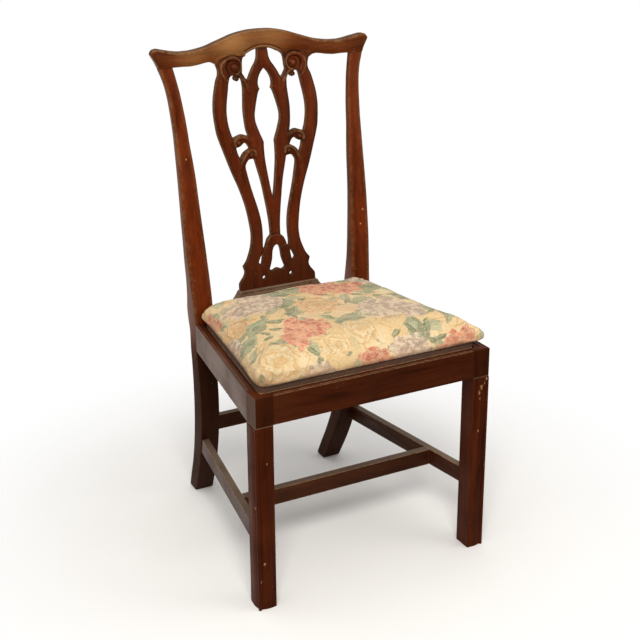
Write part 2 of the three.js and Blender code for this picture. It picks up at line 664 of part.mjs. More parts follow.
function splatTongues() {
  const [low, high] = splatTongueShares.map((share) => splatHalfWidth * share);
  const seamHeight = splatFoot + splatHeight * seamShares[0][1];
  const face = splatFace(seamHeight) + (splatThickness - splatTongueThickness) / 2;
  return [[low, high], [face, face + splatTongueThickness], [seamHeight - overrun, seamHeight + splatTongue]];
}

function buildCrest() {
  const topRows = crestTopShares.map(onCrest(0, crestHalfWidth));
  const right = crestUnderRows().map(([x, under]) => [x, under, between(topRows, x, 1) - gap]);
  const left = right.slice(1).reverse().map(([x, under, top]) => [-x, under, top]);
  const crest = loft([...left, ...right].map(([x, under, top]) => crestRing(x, under, top)));
  const mortises = [mortise(crestTenonBlock()), mortise(splatTongues())];
  return cut(crest, ...mortises, ...mortises.map(mirrored));
}

// Splat

function splatFace(z) {
  const down = (splatFoot + splatHeight - z) / splatHeight;
  return seatDepth + (z - seatHeight) * backRake + splatSet + splatBelly * down * down;
}

// The points of an outline: each run is a smooth curve, and runs meet at corners
function outline(runs) {
  return runs.flatMap((run) => {
    const points = run.map((shares) => new THREE.Vector2(...onSplat(shares)));
    if (points.length < 3) {
      return points.slice(0, -1);
    }
    return new THREE.SplineCurve(points).getPoints((points.length - 1) * splatCurveSteps).slice(0, -1);
  });
}

function flipped(points) {
  return points.map((point) => new THREE.Vector2(-point.x, point.y)).reverse();
}

function symmetrical(runs) {
  const right = outline(runs);
  const end = new THREE.Vector2(...onSplat(runs.at(-1).at(-1)));
  return [...right, end, ...flipped(right.slice(1))];
}

function roundHole([xShare, zShare]) {
  const [x, z] = onSplat([xShare, zShare]);
  return Array.from({ length: dropHoleSides }, (_, step) => {
    const turn = 2 * Math.PI * step / dropHoleSides;
    return new THREE.Vector2(x + dropHoleRadius * Math.cos(turn), z + dropHoleRadius * Math.sin(turn));
  });
}

function splatShape() {
  const straightSeam = seamShares.slice(1).reverse().map((shares) => new THREE.Vector2(...onSplat(shares)));
  const right = [...outline(splatSideShares), ...straightSeam, ...outline(splatVoidShares),
    new THREE.Vector2(...onSplat(splatVoidShares.at(-1).at(-1)))];
  const shape = new THREE.Shape([...right, ...flipped(right)]);
  const sides = [upperOpeningShares, scrollOpeningShares, lowerOpeningShares, hoopSideShares].map(outline);
  const holes = [...sides, roundHole(dropHoleShares)];
  const middles = [middleOpeningShares, hoopOpeningShares].map(symmetrical);
  shape.holes = [...holes, ...holes.map(flipped), ...middles].map((points) => new THREE.Path(points));
  return shape;
}

// The flat splat stood up and bent back along its curve
function bentSplat() {
  const flat = new THREE.ExtrudeGeometry(splatShape(), { depth: splatThickness, bevelEnabled: false });
  const places = flat.attributes.position;
  for (let at = 0; at < places.count; at += 1) {
    const z = places.getY(at);
    places.setXYZ(at, places.getX(at), splatFace(z) + splatThickness - places.getZ(at), z);
  }
  return flat;
}

// A round carved boss that stands on the splat's face; its outline runs from the axis out and back
function boss(placeShares, outlinePoints) {
  const [x, z] = onSplat(placeShares);
  const profile = outlinePoints.map(([radius, rise]) => new THREE.Vector2(radius, rise));
  const lathe = new THREE.LatheGeometry([...profile, profile[0].clone()], bossSides);
  return lathe.rotateX(Math.PI / 2).translate(x, splatFace(z), z);
}

function splatBosses() {
  const root = splatThickness / 2;
  const inner = voluteRadius - voluteRidge;
  const slope = voluteRidge * bossRimShare;
  const rim = [[inner, -root], [voluteRadius, -root], [voluteRadius, 0], [voluteRadius - slope, bossRise],
    [inner + slope, bossRise], [inner, 0]];
  const dome = (radius) => [[0, -root], [radius, -root], [radius, 0],
    [radius * Math.SQRT1_2, bossRise * Math.SQRT1_2], [0, bossRise]];
  return [boss(volutePlaceShares, rim), boss(volutePlaceShares, dome(voluteEye)),
    ...bossPlaceShares.map((place) => boss(place, dome(bossRadius)))];
}

const footTongue = [[-splatHalfWidth * footTongueShare, splatHalfWidth * footTongueShare],
  [splatFace(splatFoot) + (splatThickness - splatTongueThickness) / 2,
    splatFace(splatFoot) + (splatThickness + splatTongueThickness) / 2],
  [splatFoot - splatTongue, splatFoot + overrun]];

function buildSplat() {
  const bosses = splatBosses();
  const tongue = box(...splatTongues());
  return joined(bentSplat(), ...bosses, ...bosses.map(mirrored), tongue, mirrored(tongue), box(...footTongue));
}

function buildShoe() {
  const topHalf = splatHalfWidth * splatSideShares[0][0][0] + shoeMargin;
  const topFront = splatFace(splatFoot) - shoeLead;
  const topBack = splatFace(splatFoot) + splatThickness + shoeTail;
  const rings = shoeShares.map(([riseShare, widthShare, frontShare]) => {
    const half = topHalf + shoeSpread * (1 - widthShare);
    const front = topFront - shoeSweep * (1 - frontShare);
    const back = rearRailEnd + (topBack - rearRailEnd) * riseShare;
    const z = seatHeight + gap + (shoeHeight - 2 * gap) * riseShare;
    const corners = [[-half, front], [half, front], [half, back], [-half, back]];
    return corners.map(([x, y]) => new THREE.Vector3(x, y, z));
  });
  return cut(loft(rings), mortise(footTongue));
}

// Corner blocks

const blockHeights = [ledgeHeight - blockDrop - blockHeight, ledgeHeight - blockDrop];
const screwHeight = (blockHeights[0] + blockHeights[1]) / 2;

function prism(corners, [low, high]) {
  return loft([low, high].map((z) => corners.map(([x, y]) => new THREE.Vector3(x, y, z))));
}

const innerFace = (y) => sideFace(y) - sideRailThickness - gap;
const frontBlockY = frontRailThickness + gap;
const legNotch = [legInner - gap, legDepth + gap];
const frontBlockX = innerFace(frontBlockY) - blockReach;
const rearBlockY = rearRailStart - gap;
const rearBlockX = innerFace(rearBlockY) - blockReach;

function screwPlaces(start) {
  return screwSpacingShares.map((share) => start + blockReach * share);
}

// A screw along y: the way it points is 1 to the back or -1 to the front
function screw(x, railFace, way) {
  const tip = railFace + way * screwGrip;
  const head = tip - way * screwLength;
  const profile = [[0, 0], [screwHeadRadius, 0], [screwHeadRadius, screwHeadHeight / 2],
    [screwRadius, screwHeadHeight], [screwRadius, screwLength - screwHeadHeight], [0, screwLength]];
  return alongY(profile, x, head, way);
}

function alongY(profile, x, start, way) {
  const points = profile.map(([radius, length]) => new THREE.Vector2(radius, length));
  const lathe = new THREE.LatheGeometry(points, screwSides);
  const turned = way > 0 ? lathe : facingOut(lathe.clone().scale(1, -1, 1));
  return turned.translate(x, start, screwHeight);
}

function screwHole(x, railFace, way) {
  const tip = railFace + way * screwGrip;
  const seat = tip - way * (screwLength - screwHeadHeight);
  const length = screwLength - screwHeadHeight + gap;
  const hole = screwRadius + gap;
  const shank = alongY([[0, 0], [hole, 0], [hole, length], [0, length]], x, seat, way);
  const reach = blockLeg + screwHeadHeight;
  const counterbore = alongY([[0, 0], [counterboreRadius, 0], [counterboreRadius, reach], [0, reach]], x,
    seat + way * gap, -way);
  return [shank, counterbore];
}

function frontScrewHoles() {
  return screwPlaces(frontBlockX).flatMap((x) => screwHole(x, frontRailThickness, -1).slice(0, 1));
}

function rearScrewHoles() {
  return screwPlaces(rearBlockX).flatMap((x) => screwHole(x, rearRailStart, 1).slice(0, 1));
}

function buildFrontBlock() {
  const far = frontBlockY + blockLeg;
  const corners = [[frontBlockX, frontBlockY], [legNotch[0], frontBlockY], legNotch,
    [innerFace(legNotch[1]), legNotch[1]], [innerFace(far), far]];
  const holes = screwPlaces(frontBlockX).flatMap((x) => screwHole(x, frontRailThickness, -1));
  return cut(prism(corners, blockHeights), ...holes);
}

function buildRearBlock() {
  const far = rearBlockY - blockLeg;
  const corners = [[rearBlockX, rearBlockY], [innerFace(rearBlockY), rearBlockY], [innerFace(far), far]];
  const holes = screwPlaces(rearBlockX).flatMap((x) => screwHole(x, rearRailStart, 1));
  return cut(prism(corners, blockHeights), ...holes);
}

// Loose seat: wooden frame

const hemBottom = ledgeHeight + gap;
const barHeights = [hemBottom + coverThickness + gap, hemBottom + coverThickness + gap + seatBarHeight];
const seatFront = lipWidth + seatPlay;
const seatRear = seatDepth - seatPlay;
const seatSide = (y) => sideFace(y) - lipWidth - seatPlay;
const barTenonHeights = [barHeights[0] + (seatBarHeight - barTenonThickness) / 2,
  barHeights[0] + (seatBarHeight + barTenonThickness) / 2];

function barTenonBlocks() {
  const frontEdge = seatFront + seatBarWidth;
  const rearEdge = seatRear - seatBarWidth;
  const block = (from, to, y) => {
    const middle = seatSide(y) - seatBarWidth / 2;
    const quarter = seatBarWidth / 4;
    return [[middle - quarter, middle + quarter], [from, to], barTenonHeights];
  };
  return [block(frontEdge - barTenon, frontEdge + overrun, frontEdge),
    block(rearEdge - overrun, rearEdge + barTenon, rearEdge)];
}

function buildCrossBar(from, to, tools) {
  const corners = [[seatSide(from), from], [seatSide(to), to], [-seatSide(to), to], [-seatSide(from), from]];
  const roundedPlan = cushionBody(grown(barHeights).map((z) => [z, 0, 1, 0]));
  return cut(common(prism(corners, barHeights), roundedPlan), ...tools);
}

function buildSideBar(tools) {
  const from = seatFront + seatBarWidth + gap;
  const to = seatRear - seatBarWidth - gap;
  const corners = [[seatSide(from), from], [seatSide(to), to], [seatSide(to) - seatBarWidth, to],
    [seatSide(from) - seatBarWidth, from]];
  return cut(joined(prism(corners, barHeights), ...barTenonBlocks().map((block) => box(...block))), ...tools);
}

// Webbing and burlap

const webLow = [barHeights[1] + gap, barHeights[1] + gap + webThickness];
const webHigh = [webLow[1] + gap, webLow[1] + gap + webThickness];
const burlapHeights = [webHigh[1] + gap, webHigh[1] + gap + burlapThickness];
const seatMiddle = (seatFront + seatRear) / 2;
const meanWidth = 2 * seatSide(seatMiddle);
const lengthwiseWebs = webPlaceShares.map((share) => {
  const x = meanWidth * share;
  return [[x - webWidth / 2, x + webWidth / 2], [seatFront + webEndMargin, seatRear - webEndMargin], webLow];
});
const crosswiseWebs = webPlaceShares.map((share) => {
  const y = seatMiddle + (seatRear - seatFront) * share;
  const reach = seatSide(y + webWidth / 2) - webEndMargin;
  return [[-reach, reach], [y - webWidth / 2, y + webWidth / 2], webHigh];
});

function buildBurlap() {
  const [from, to] = [seatFront + burlapMargin, seatRear - burlapMargin];
  const corners = [[seatSide(from) - burlapMargin, from], [seatSide(to) - burlapMargin, to],
    [burlapMargin - seatSide(to), to], [burlapMargin - seatSide(from), from]];
  return prism(corners, burlapHeights);
}

// Cover tacks: a head under the hem, and a square shank that points up

function tack(x, y) {
  const half = tackShank / 2;
  const head = new THREE.CylinderGeometry(tackHeadRadius, tackHeadRadius, tackHeadHeight, tackSides)
    .rotateX(Math.PI / 2).translate(x, y, coverTackHead - tackHeadHeight / 2);
  const ends = [coverTackHead - tackHeadHeight / 2, coverTackHead + tackLength];
  return joined(head, box([x - half, x + half], [y - half, y + half], ends));
}

function tackHole(x, y) {
  const half = tackShank / 2 + gap;
  return box([x - half, x + half], [y - half, y + half],
    [coverTackHead - overrun, coverTackHead + tackLength + gap]);
}

function coverTackPlaces() {
  const sides = coverTackShares.flatMap((share) => {
    const y = seatMiddle + (seatRear - seatFront) * share;
    const x = seatSide(y) - coverTackInset;
    return [[x, y], [-x, y]];
  });
  const ends = coverTackShares.flatMap((share) => {
    const x = meanWidth * share;
    return [[x, seatFront + coverTackInset], [x, seatRear - coverTackInset]];
  });
  return [...sides, ...ends];
}

const coverTackHead = hemBottom - gap;

function coverTackHoles() {
  return coverTackPlaces().map(([x, y]) => tackHole(x, y));
}

// Cushion: rings round the seat, each set out from the frame's edge and drawn in towards the middle

function roundedCorner(before, corner, after, radius) {
  const back = before.clone().sub(corner).normalize();
  const onwards = after.clone().sub(corner).normalize();
  const half = Math.acos(back.dot(onwards)) / 2;
  const centre = corner.clone().add(back.clone().add(onwards).setLength(radius / Math.sin(half)));
  const start = corner.clone().addScaledVector(back, radius / Math.tan(half));
  return Array.from({ length: cornerSteps + 1 }, (_, step) => start.clone()
    .rotateAround(centre, (Math.PI - 2 * half) * step / cornerSteps));
}

// The bulge is how far the cover stands out at this height; it sets what the sides' middles lose
function seatRing([rise, out, drawShare, bulge]) {
  const front = seatFront - out;
  const rear = seatRear + out - Math.max(0, bulge - rearBulge);
  const waist = waistShare * Math.max(0, bulge - coverBulge * coverShares[0][0]);
  const corners = [[front, 1], [rear, 1], [rear, -1], [front, -1]]
    .map(([y, side]) => new THREE.Vector2(side * (seatSide(y) + out), y));
  const rounded = corners.map((corner, at) => roundedCorner(corners.at(at - 1), corner,
    corners[(at + 1) % corners.length], seatCornerRadius));
  const middle = new THREE.Vector2(0, seatMiddle);
  return rounded.flatMap((arc, at) => {
    const run = rounded[(at + 1) % rounded.length][0].clone().sub(arc.at(-1));
    const inwards = new THREE.Vector2(-run.y, run.x).setLength(at === 1 ? 0 : waist);
    const along = Array.from({ length: edgeSteps - 1 }, (_, step) => {
      const share = (step + 1) / edgeSteps;
      return arc.at(-1).clone().addScaledVector(run, share).addScaledVector(inwards, 1 - (2 * share - 1) ** 4);
    });
    return [...arc, ...along];
  }).map((point) => point.lerp(middle, 1 - drawShare)).map(({ x, y }) => new THREE.Vector3(x, y, rise));
}

// Rows up the cover, moved in by a depth: height, reach, drawn-in share and bulge
function cushionRows(depth) {
  const rows = coverShares.map(([outShare, riseShare]) => new THREE.Vector2(coverBulge * outShare,
    seatHeight + crownHeight * riseShare));
  const edge = rows.map((point, at) => {
    const run = rows[Math.min(at + 1, rows.length - 1)].clone().sub(rows[Math.max(at - 1, 0)]).normalize();
    return [point.y + depth * run.x, point.x - depth * run.y, 1, point.x];
  });
  const shoulder = rows.at(-1).y;
  const lastRise = seatHeight + crownHeight - shoulder;
  const [, last, , bulge] = edge.at(-1);
  const crown = crownShares.map(([drawShare, riseShare]) => [shoulder + lastRise * riseShare - depth, last,
    drawShare, bulge]);
  return [...edge, ...crown];
}

function cushionBody(rows) {
  return loft(rows.map(seatRing), true);
}

// The cover is a skin: up the outside, over the crown, down the inside and in under the frame
function buildCover() {
  const outer = cushionRows(0);
  const inner = cushionRows(coverThickness);
  const hemTop = hemBottom + coverThickness;
  const at = (row, z) => [z, ...row.slice(1)];
  const level = (z, out) => [z, out, 1, 0];
  const outerSkin = cushionBody([at(outer[0], hemBottom), ...outer]);
  const innerSkin = cushionBody([at(inner[0], hemBottom - overrun), ...inner]);
  const hemPlate = cushionBody([at(outer[0], hemBottom), at(outer[0], hemTop)]);
  const hemHole = cushionBody([level(hemBottom - overrun, -hemWidth), level(hemTop + overrun, -hemWidth)]);
  return cut(joined(cut(outerSkin, innerSkin), cut(hemPlate, hemHole)), ...coverTackHoles());
}

function buildStuffing() {
  const rows = cushionRows(coverThickness + 2 * gap);
  const foot = burlapHeights[1] + gap;
  const first = [foot, between(rows, foot, 1), 1, between(rows, foot, 3)];
  return cushionBody([first, ...rows.filter(([z]) => z > foot)]);
}

addPair('rear_leg_post', buildPost(), wood);
addPiece('crest_rail', buildCrest(), crestWood);
addPiece('splat', buildSplat(), wood);
addPiece('splat_shoe', buildShoe(), wood);
addPiece('front_seat_rail', buildFrontRail(), wood);
addPair('side_seat_rail', buildSideRail(), wood);
addPiece('rear_seat_rail', buildRearRail(), wood);
addPair('front_leg', buildFrontLeg(), wood);
addPair('side_stretcher', buildSideStretcher(), wood);
addPiece('medial_stretcher', buildMedialStretcher(), wood);
addPiece('rear_stretcher', buildRearStretcher(), wood);
addPair('front_corner_block', buildFrontBlock(), innerWood);
addPair('rear_corner_block', buildRearBlock(), innerWood);
screwPlaces(frontBlockX).forEach((x, at) => addPair(`front_block_screw_${at + 1}`,
  screw(x, frontRailThickness, -1), steel));
screwPlaces(rearBlockX).forEach((x, at) => addPair(`rear_block_screw_${at + 1}`,
  screw(x, rearRailStart, 1), steel));

const barCuts = coverTackHoles();
const barMortises = barTenonBlocks().map((block) => mortise(block));
addPiece('seat_frame_front', buildCrossBar(seatFront, seatFront + seatBarWidth,
  [...barCuts, barMortises[0], mirrored(barMortises[0])]), innerWood);
addPiece('seat_frame_rear', buildCrossBar(seatRear - seatBarWidth, seatRear,
  [...barCuts, barMortises[1], mirrored(barMortises[1])]), innerWood);
addPair('seat_frame_side', buildSideBar(barCuts), innerWood);
lengthwiseWebs.forEach((block, at) => addPiece(`lengthwise_webbing_${at + 1}`, box(...block), jute));
crosswiseWebs.forEach((block, at) => addPiece(`crosswise_webbing_${at + 1}`, box(...block), jute));
addPiece('burlap', buildBurlap(), jute);
addPiece('seat_stuffing', buildStuffing(), hair);
addPiece('seat_cover', buildCover(), cloth);
coverTackPlaces().forEach(([x, y], at) => addPiece(`cover_tack_${at + 1}`, tack(x, y), steel));

// The origin lies on the floor under the middle of the chair
const bounds = new THREE.Box3().setFromObject(chair);
chair.position.y = -(bounds.min.y + bounds.max.y) / 2;

export default chair;
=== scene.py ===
import json
import math

import bmesh
import bpy
import numpy as np
from mathutils import Matrix, Vector
from mathutils.geometry import delaunay_2d_cdt
from mathutils.kdtree import KDTree

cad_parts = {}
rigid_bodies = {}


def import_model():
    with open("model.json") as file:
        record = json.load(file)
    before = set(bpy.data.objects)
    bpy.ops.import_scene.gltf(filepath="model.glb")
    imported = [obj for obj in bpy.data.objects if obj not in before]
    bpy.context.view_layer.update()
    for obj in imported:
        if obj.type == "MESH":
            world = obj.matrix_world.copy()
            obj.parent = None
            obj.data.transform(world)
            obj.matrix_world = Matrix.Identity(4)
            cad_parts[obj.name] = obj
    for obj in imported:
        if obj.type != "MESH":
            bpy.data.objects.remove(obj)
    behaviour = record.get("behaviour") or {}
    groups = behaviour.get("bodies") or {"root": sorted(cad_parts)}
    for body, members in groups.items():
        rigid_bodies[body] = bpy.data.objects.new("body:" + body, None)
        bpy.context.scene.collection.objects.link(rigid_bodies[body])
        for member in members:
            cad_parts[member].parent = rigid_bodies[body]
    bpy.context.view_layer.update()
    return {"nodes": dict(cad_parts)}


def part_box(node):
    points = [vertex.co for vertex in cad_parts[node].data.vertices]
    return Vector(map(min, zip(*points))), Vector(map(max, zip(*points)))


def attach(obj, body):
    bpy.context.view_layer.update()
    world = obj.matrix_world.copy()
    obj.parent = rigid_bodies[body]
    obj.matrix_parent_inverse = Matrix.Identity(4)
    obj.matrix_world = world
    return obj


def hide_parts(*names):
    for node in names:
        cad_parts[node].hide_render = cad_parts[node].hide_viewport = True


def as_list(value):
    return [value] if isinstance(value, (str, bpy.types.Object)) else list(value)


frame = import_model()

NODES = frame["nodes"]
SCENE = bpy.context.scene
MM = 0.001

# The chair's main sizes in millimetres, with y from the front of the front rail
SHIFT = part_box("front_seat_rail")[0][1] / MM
SEAT_HEIGHT, SEAT_DEPTH = 430.0, 380.0
HALF_FRONT, HALF_REAR = 248.0, 203.0
POST_TOP = 934.0
LEG_DEPTH = 37.0
LIP, PLAY, GAP = 20.0, 2.5, 0.3
RAKE = math.tan(math.radians(9.03))
SPLAT_FOOT, SPLAT_HEIGHT, SPLAT_HALF, SPLAT_THICKNESS = 472.0, 485.0, 116.0, 9.0


def add_object(name, data):
    obj = bpy.data.objects.new(name, data)
    SCENE.collection.objects.link(obj)
    return obj


def add_attribute(mesh, word, values):
    mesh.attributes.new(word, "FLOAT", "POINT").data.foreach_set("value", np.asarray(values, np.float32))


def make_mesh(name, points, faces, material, body="chair_frame", wear_highlight=None, grime_shade=None, angle=40):
    """A piece from points in millimetres, y from the front rail's face."""
    points = (np.asarray(points, float) + (0, SHIFT, 0)) * MM
    mesh = bpy.data.meshes.new(name)
    mesh.from_pydata(points.tolist(), [], [list(map(int, f)) for f in faces])
    mesh.validate()
    for word, values in (("wear_highlight", wear_highlight), ("grime_shade", grime_shade)):
        if values is not None:
            add_attribute(mesh, word, values)
    obj = add_object(name, mesh)
    mesh.materials.append(material)
    mesh.shade_smooth()
    if angle:
        mesh.set_sharp_from_angle(angle=math.radians(angle))
    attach(obj, body)
    return obj


def modify(obj, kind, **settings):
    made = obj.modifiers.new(kind.lower(), kind)
    for key, value in settings.items():
        setattr(made, key, value)
    return made


def smooth_step(value, low, high):
    t = np.clip((np.asarray(value, float) - low) / (high - low), 0, 1)
    return t * t * (3 - 2 * t)


def monotone(xs, ys, at):
    """Smooth values through the points of a table, which never overshoot them."""
    xs, ys, at = (np.asarray(v, float) for v in (xs, ys, at))
    h = np.diff(xs)
    d = np.diff(ys) / h
    m = np.zeros_like(ys)
    inner = d[:-1] * d[1:] > 0
    w1, w2 = 2 * h[1:] + h[:-1], h[1:] + 2 * h[:-1]
    with np.errstate(divide="ignore", invalid="ignore"):
        mean = (w1 + w2) / (w1 / d[:-1] + w2 / d[1:])
    m[1:-1] = np.where(inner, mean, 0)
    m[0], m[-1] = d[0], d[-1]
    k = np.clip(np.searchsorted(xs, at, side="right") - 1, 0, len(h) - 1)
    t = np.clip((at - xs[k]) / h[k], 0, 1)
    return ((1 + 2 * t) * (1 - t) ** 2 * ys[k] + t * (1 - t) ** 2 * h[k] * m[k]
            + t * t * (3 - 2 * t) * ys[k + 1] + t * t * (t - 1) * h[k] * m[k + 1])


# Materials

class Graph:
    """The nodes of a material or a world, built a node at a time."""

    def __init__(self, owner):
        self.owner = owner
        owner.use_nodes = True
        self.tree = owner.node_tree

    def feed(self, socket, value):
        if isinstance(value, Field):
            self.tree.links.new(value.socket, socket)
        elif isinstance(value, tuple) and len(value) == 3 and len(socket.default_value) == 4:
            socket.default_value = (*value, 1.0)
        else:
            socket.default_value = value

    def field(self, kind, inputs=None, output=0, **settings):
        """One output of a new node."""
        made = self.tree.nodes.new(kind)
        for key, value in settings.items():
            setattr(made, key, value)
        for key, value in (inputs or {}).items():
            self.feed(made.inputs[key], value)
        return Field(self, made.outputs[output])

    def math(self, operation, *values):
        vector = any(isinstance(v, Field) and v.socket.type != "VALUE" for v in values)
        number = not vector or operation in ("LENGTH", "DISTANCE", "DOT_PRODUCT")
        return self.field("ShaderNodeVectorMath" if vector else "ShaderNodeMath", dict(enumerate(values)),
                          "Value" if number else "Vector", operation=operation)

    def mix(self, share, first, second):
        return self.field("ShaderNodeMix", {0: share, 6: first, 7: second}, 2, data_type="RGBA")

    def objects(self):
        return self.field("ShaderNodeTexCoord", output="Object")

    def attribute(self, word):
        return self.field("ShaderNodeAttribute", output="Fac", attribute_name=word)

    def ramp(self, value, stops):
        color = self.field("ShaderNodeValToRGB", {"Fac": value})
        elements = color.socket.node.color_ramp.elements
        while len(elements) < len(stops):
            elements.new(0.5)
        for element, (place, paint) in zip(elements, stops):
            element.position = place
            element.color = (*paint, 1.0)
        return color

    def bump(self, height, distance, strength):
        return self.field("ShaderNodeBump", {"Height": height, "Distance": distance, "Strength": strength})

    def finish(self, **values):
        for key, value in values.items():
            self.feed(self.tree.nodes["Principled BSDF"].inputs[key.replace("_", " ")], value)
        return self.owner


class Field:
    """A number, vector or colour that varies from place to place. Arithmetic with it adds the nodes for it."""

    def __init__(self, graph, socket):
        self.graph, self.socket = graph, socket

    def math(self, operation, *others):
        return self.graph.math(operation, self, *others)

    def __add__(self, other):
        return self.math("ADD", other)

    def __sub__(self, other):
        return self.math("SUBTRACT", other)

    def __rsub__(self, other):
        return self.graph.math("SUBTRACT", other, self)

    def __mul__(self, other):
        return self.math("MULTIPLY", other)

    def __truediv__(self, other):
        return self.math("DIVIDE", other)

    def __abs__(self):
        return self.math("ABSOLUTE")

    def clamped(self):
        self.socket.node.use_clamp = True
        return self

    def split(self):
        made = self.graph.field("ShaderNodeSeparate" + ("Color" if self.socket.type == "RGBA" else "XYZ"), {0: self})
        return [Field(self.graph, socket) for socket in made.socket.node.outputs]

    def step(self, low, high, start=0.0, end=1.0, kind="SMOOTHSTEP"):
        return self.graph.field("ShaderNodeMapRange", {"Value": self, "From Min": low, "From Max": high,
                                                       "To Min": start, "To Max": end}, interpolation_type=kind)

    def past(self, low, high, start=0.0, end=1.0):
        """A step between two places in millimetres."""
        return self.step(low * MM, high * MM, start, end)

    def mix(self, share, paint):
        """This colour with another one over it."""
        return self.graph.mix(share, self, paint)

    def noise(self, scale, detail=3.0, rough=0.5, distort=0.0, output="Fac"):
        return self.graph.field("ShaderNodeTexNoise", {"Vector": self, "Scale": scale, "Detail": detail,
                                                       "Roughness": rough, "Distortion": distort}, output)

    def mapped(self, scale=(1, 1, 1), move=(0, 0, 0)):
        return self.graph.field("ShaderNodeMapping", {"Vector": self, "Location": move, "Scale": scale})

    def grain(self, axis, share):
        """The place with everything drawn out along one axis."""
        return self.mapped(scale=tuple(share if k == axis else 1.0 for k in range(3)))

    def cells(self, scale, randomness):
        """Scattered points: the way from the nearest one, its place and its three random numbers."""
        place = self.graph.field("ShaderNodeTexVoronoi", {"Vector": self, "Scale": scale, "Randomness": randomness},
                                 "Position", voronoi_dimensions="2D", feature="F1")
        return self - place, place, Field(self.graph, place.socket.node.outputs["Color"]).split()


def material_graph(name):
    return Graph(bpy.data.materials.new(name))


# Tones per piece, partly painted light: the posts, splat and crest up high are lighter, and the rails, legs and
# stretchers lower down darker, as painted shade for the light falling off towards the floor
POST_TONE, SPLAT_TONE, CREST_TONE = (0.130, 0.0190, 0.0030), (0.098, 0.0145, 0.0026), (0.150, 0.0330, 0.0065)
RAIL_TONE, LEG_TONE, BAR_TONE = (0.060, 0.0110, 0.0030), (0.072, 0.0135, 0.0038), (0.052, 0.0125, 0.0048)
# Pale tones for rubbed edges and carving, which also stand in for highlights along them, and a painted highlight for
# the legs' ledge
WORN_AND_HIGHLIGHT, RUBBED_AND_HIGHLIGHT, LEDGE_HIGHLIGHT = (0.26, 0.145, 0.065), (0.38, 0.235, 0.12), (0.30, 0.20, 0.12)
# Dark tones: soiling and painted shade in hollows, along edges and in joints, painted shade low down, and pores
DIRT_AND_SHADE, LOW_SHADE, PORE = (0.010, 0.0042, 0.0018), (0.015, 0.0042, 0.0018), (0.008, 0.002, 0.001)
# Dusting that also stands in for a sheen on what faces up, and a painted sheen for the leg blocks' sides
DUST_AND_SHEEN, SIDE_SHEEN = (0.24, 0.185, 0.13), (0.16, 0.110, 0.085)
PALE, DARK, CHALK = (0.50, 0.28, 0.13), (0.012, 0.003, 0.001), (0.72, 0.62, 0.48)
# A painted highlight for the crest, and a darker red
GOLDEN_HIGHLIGHT, RUSSET = (0.33, 0.150, 0.048), (0.062, 0.0100, 0.0022)
BLOCK_FOOT, BLOCK_SIDE, BLOCK_FRONT = 372.5, 247.1, 2.0
# Heights on the cloth: where the painted shadow band starts, and over which it turns from brown below to its darkest
# above
SHADOW_BAND_TOP, SHADOW_BAND_FOOT = (440.2, 439.1), (434.5, 438.5)


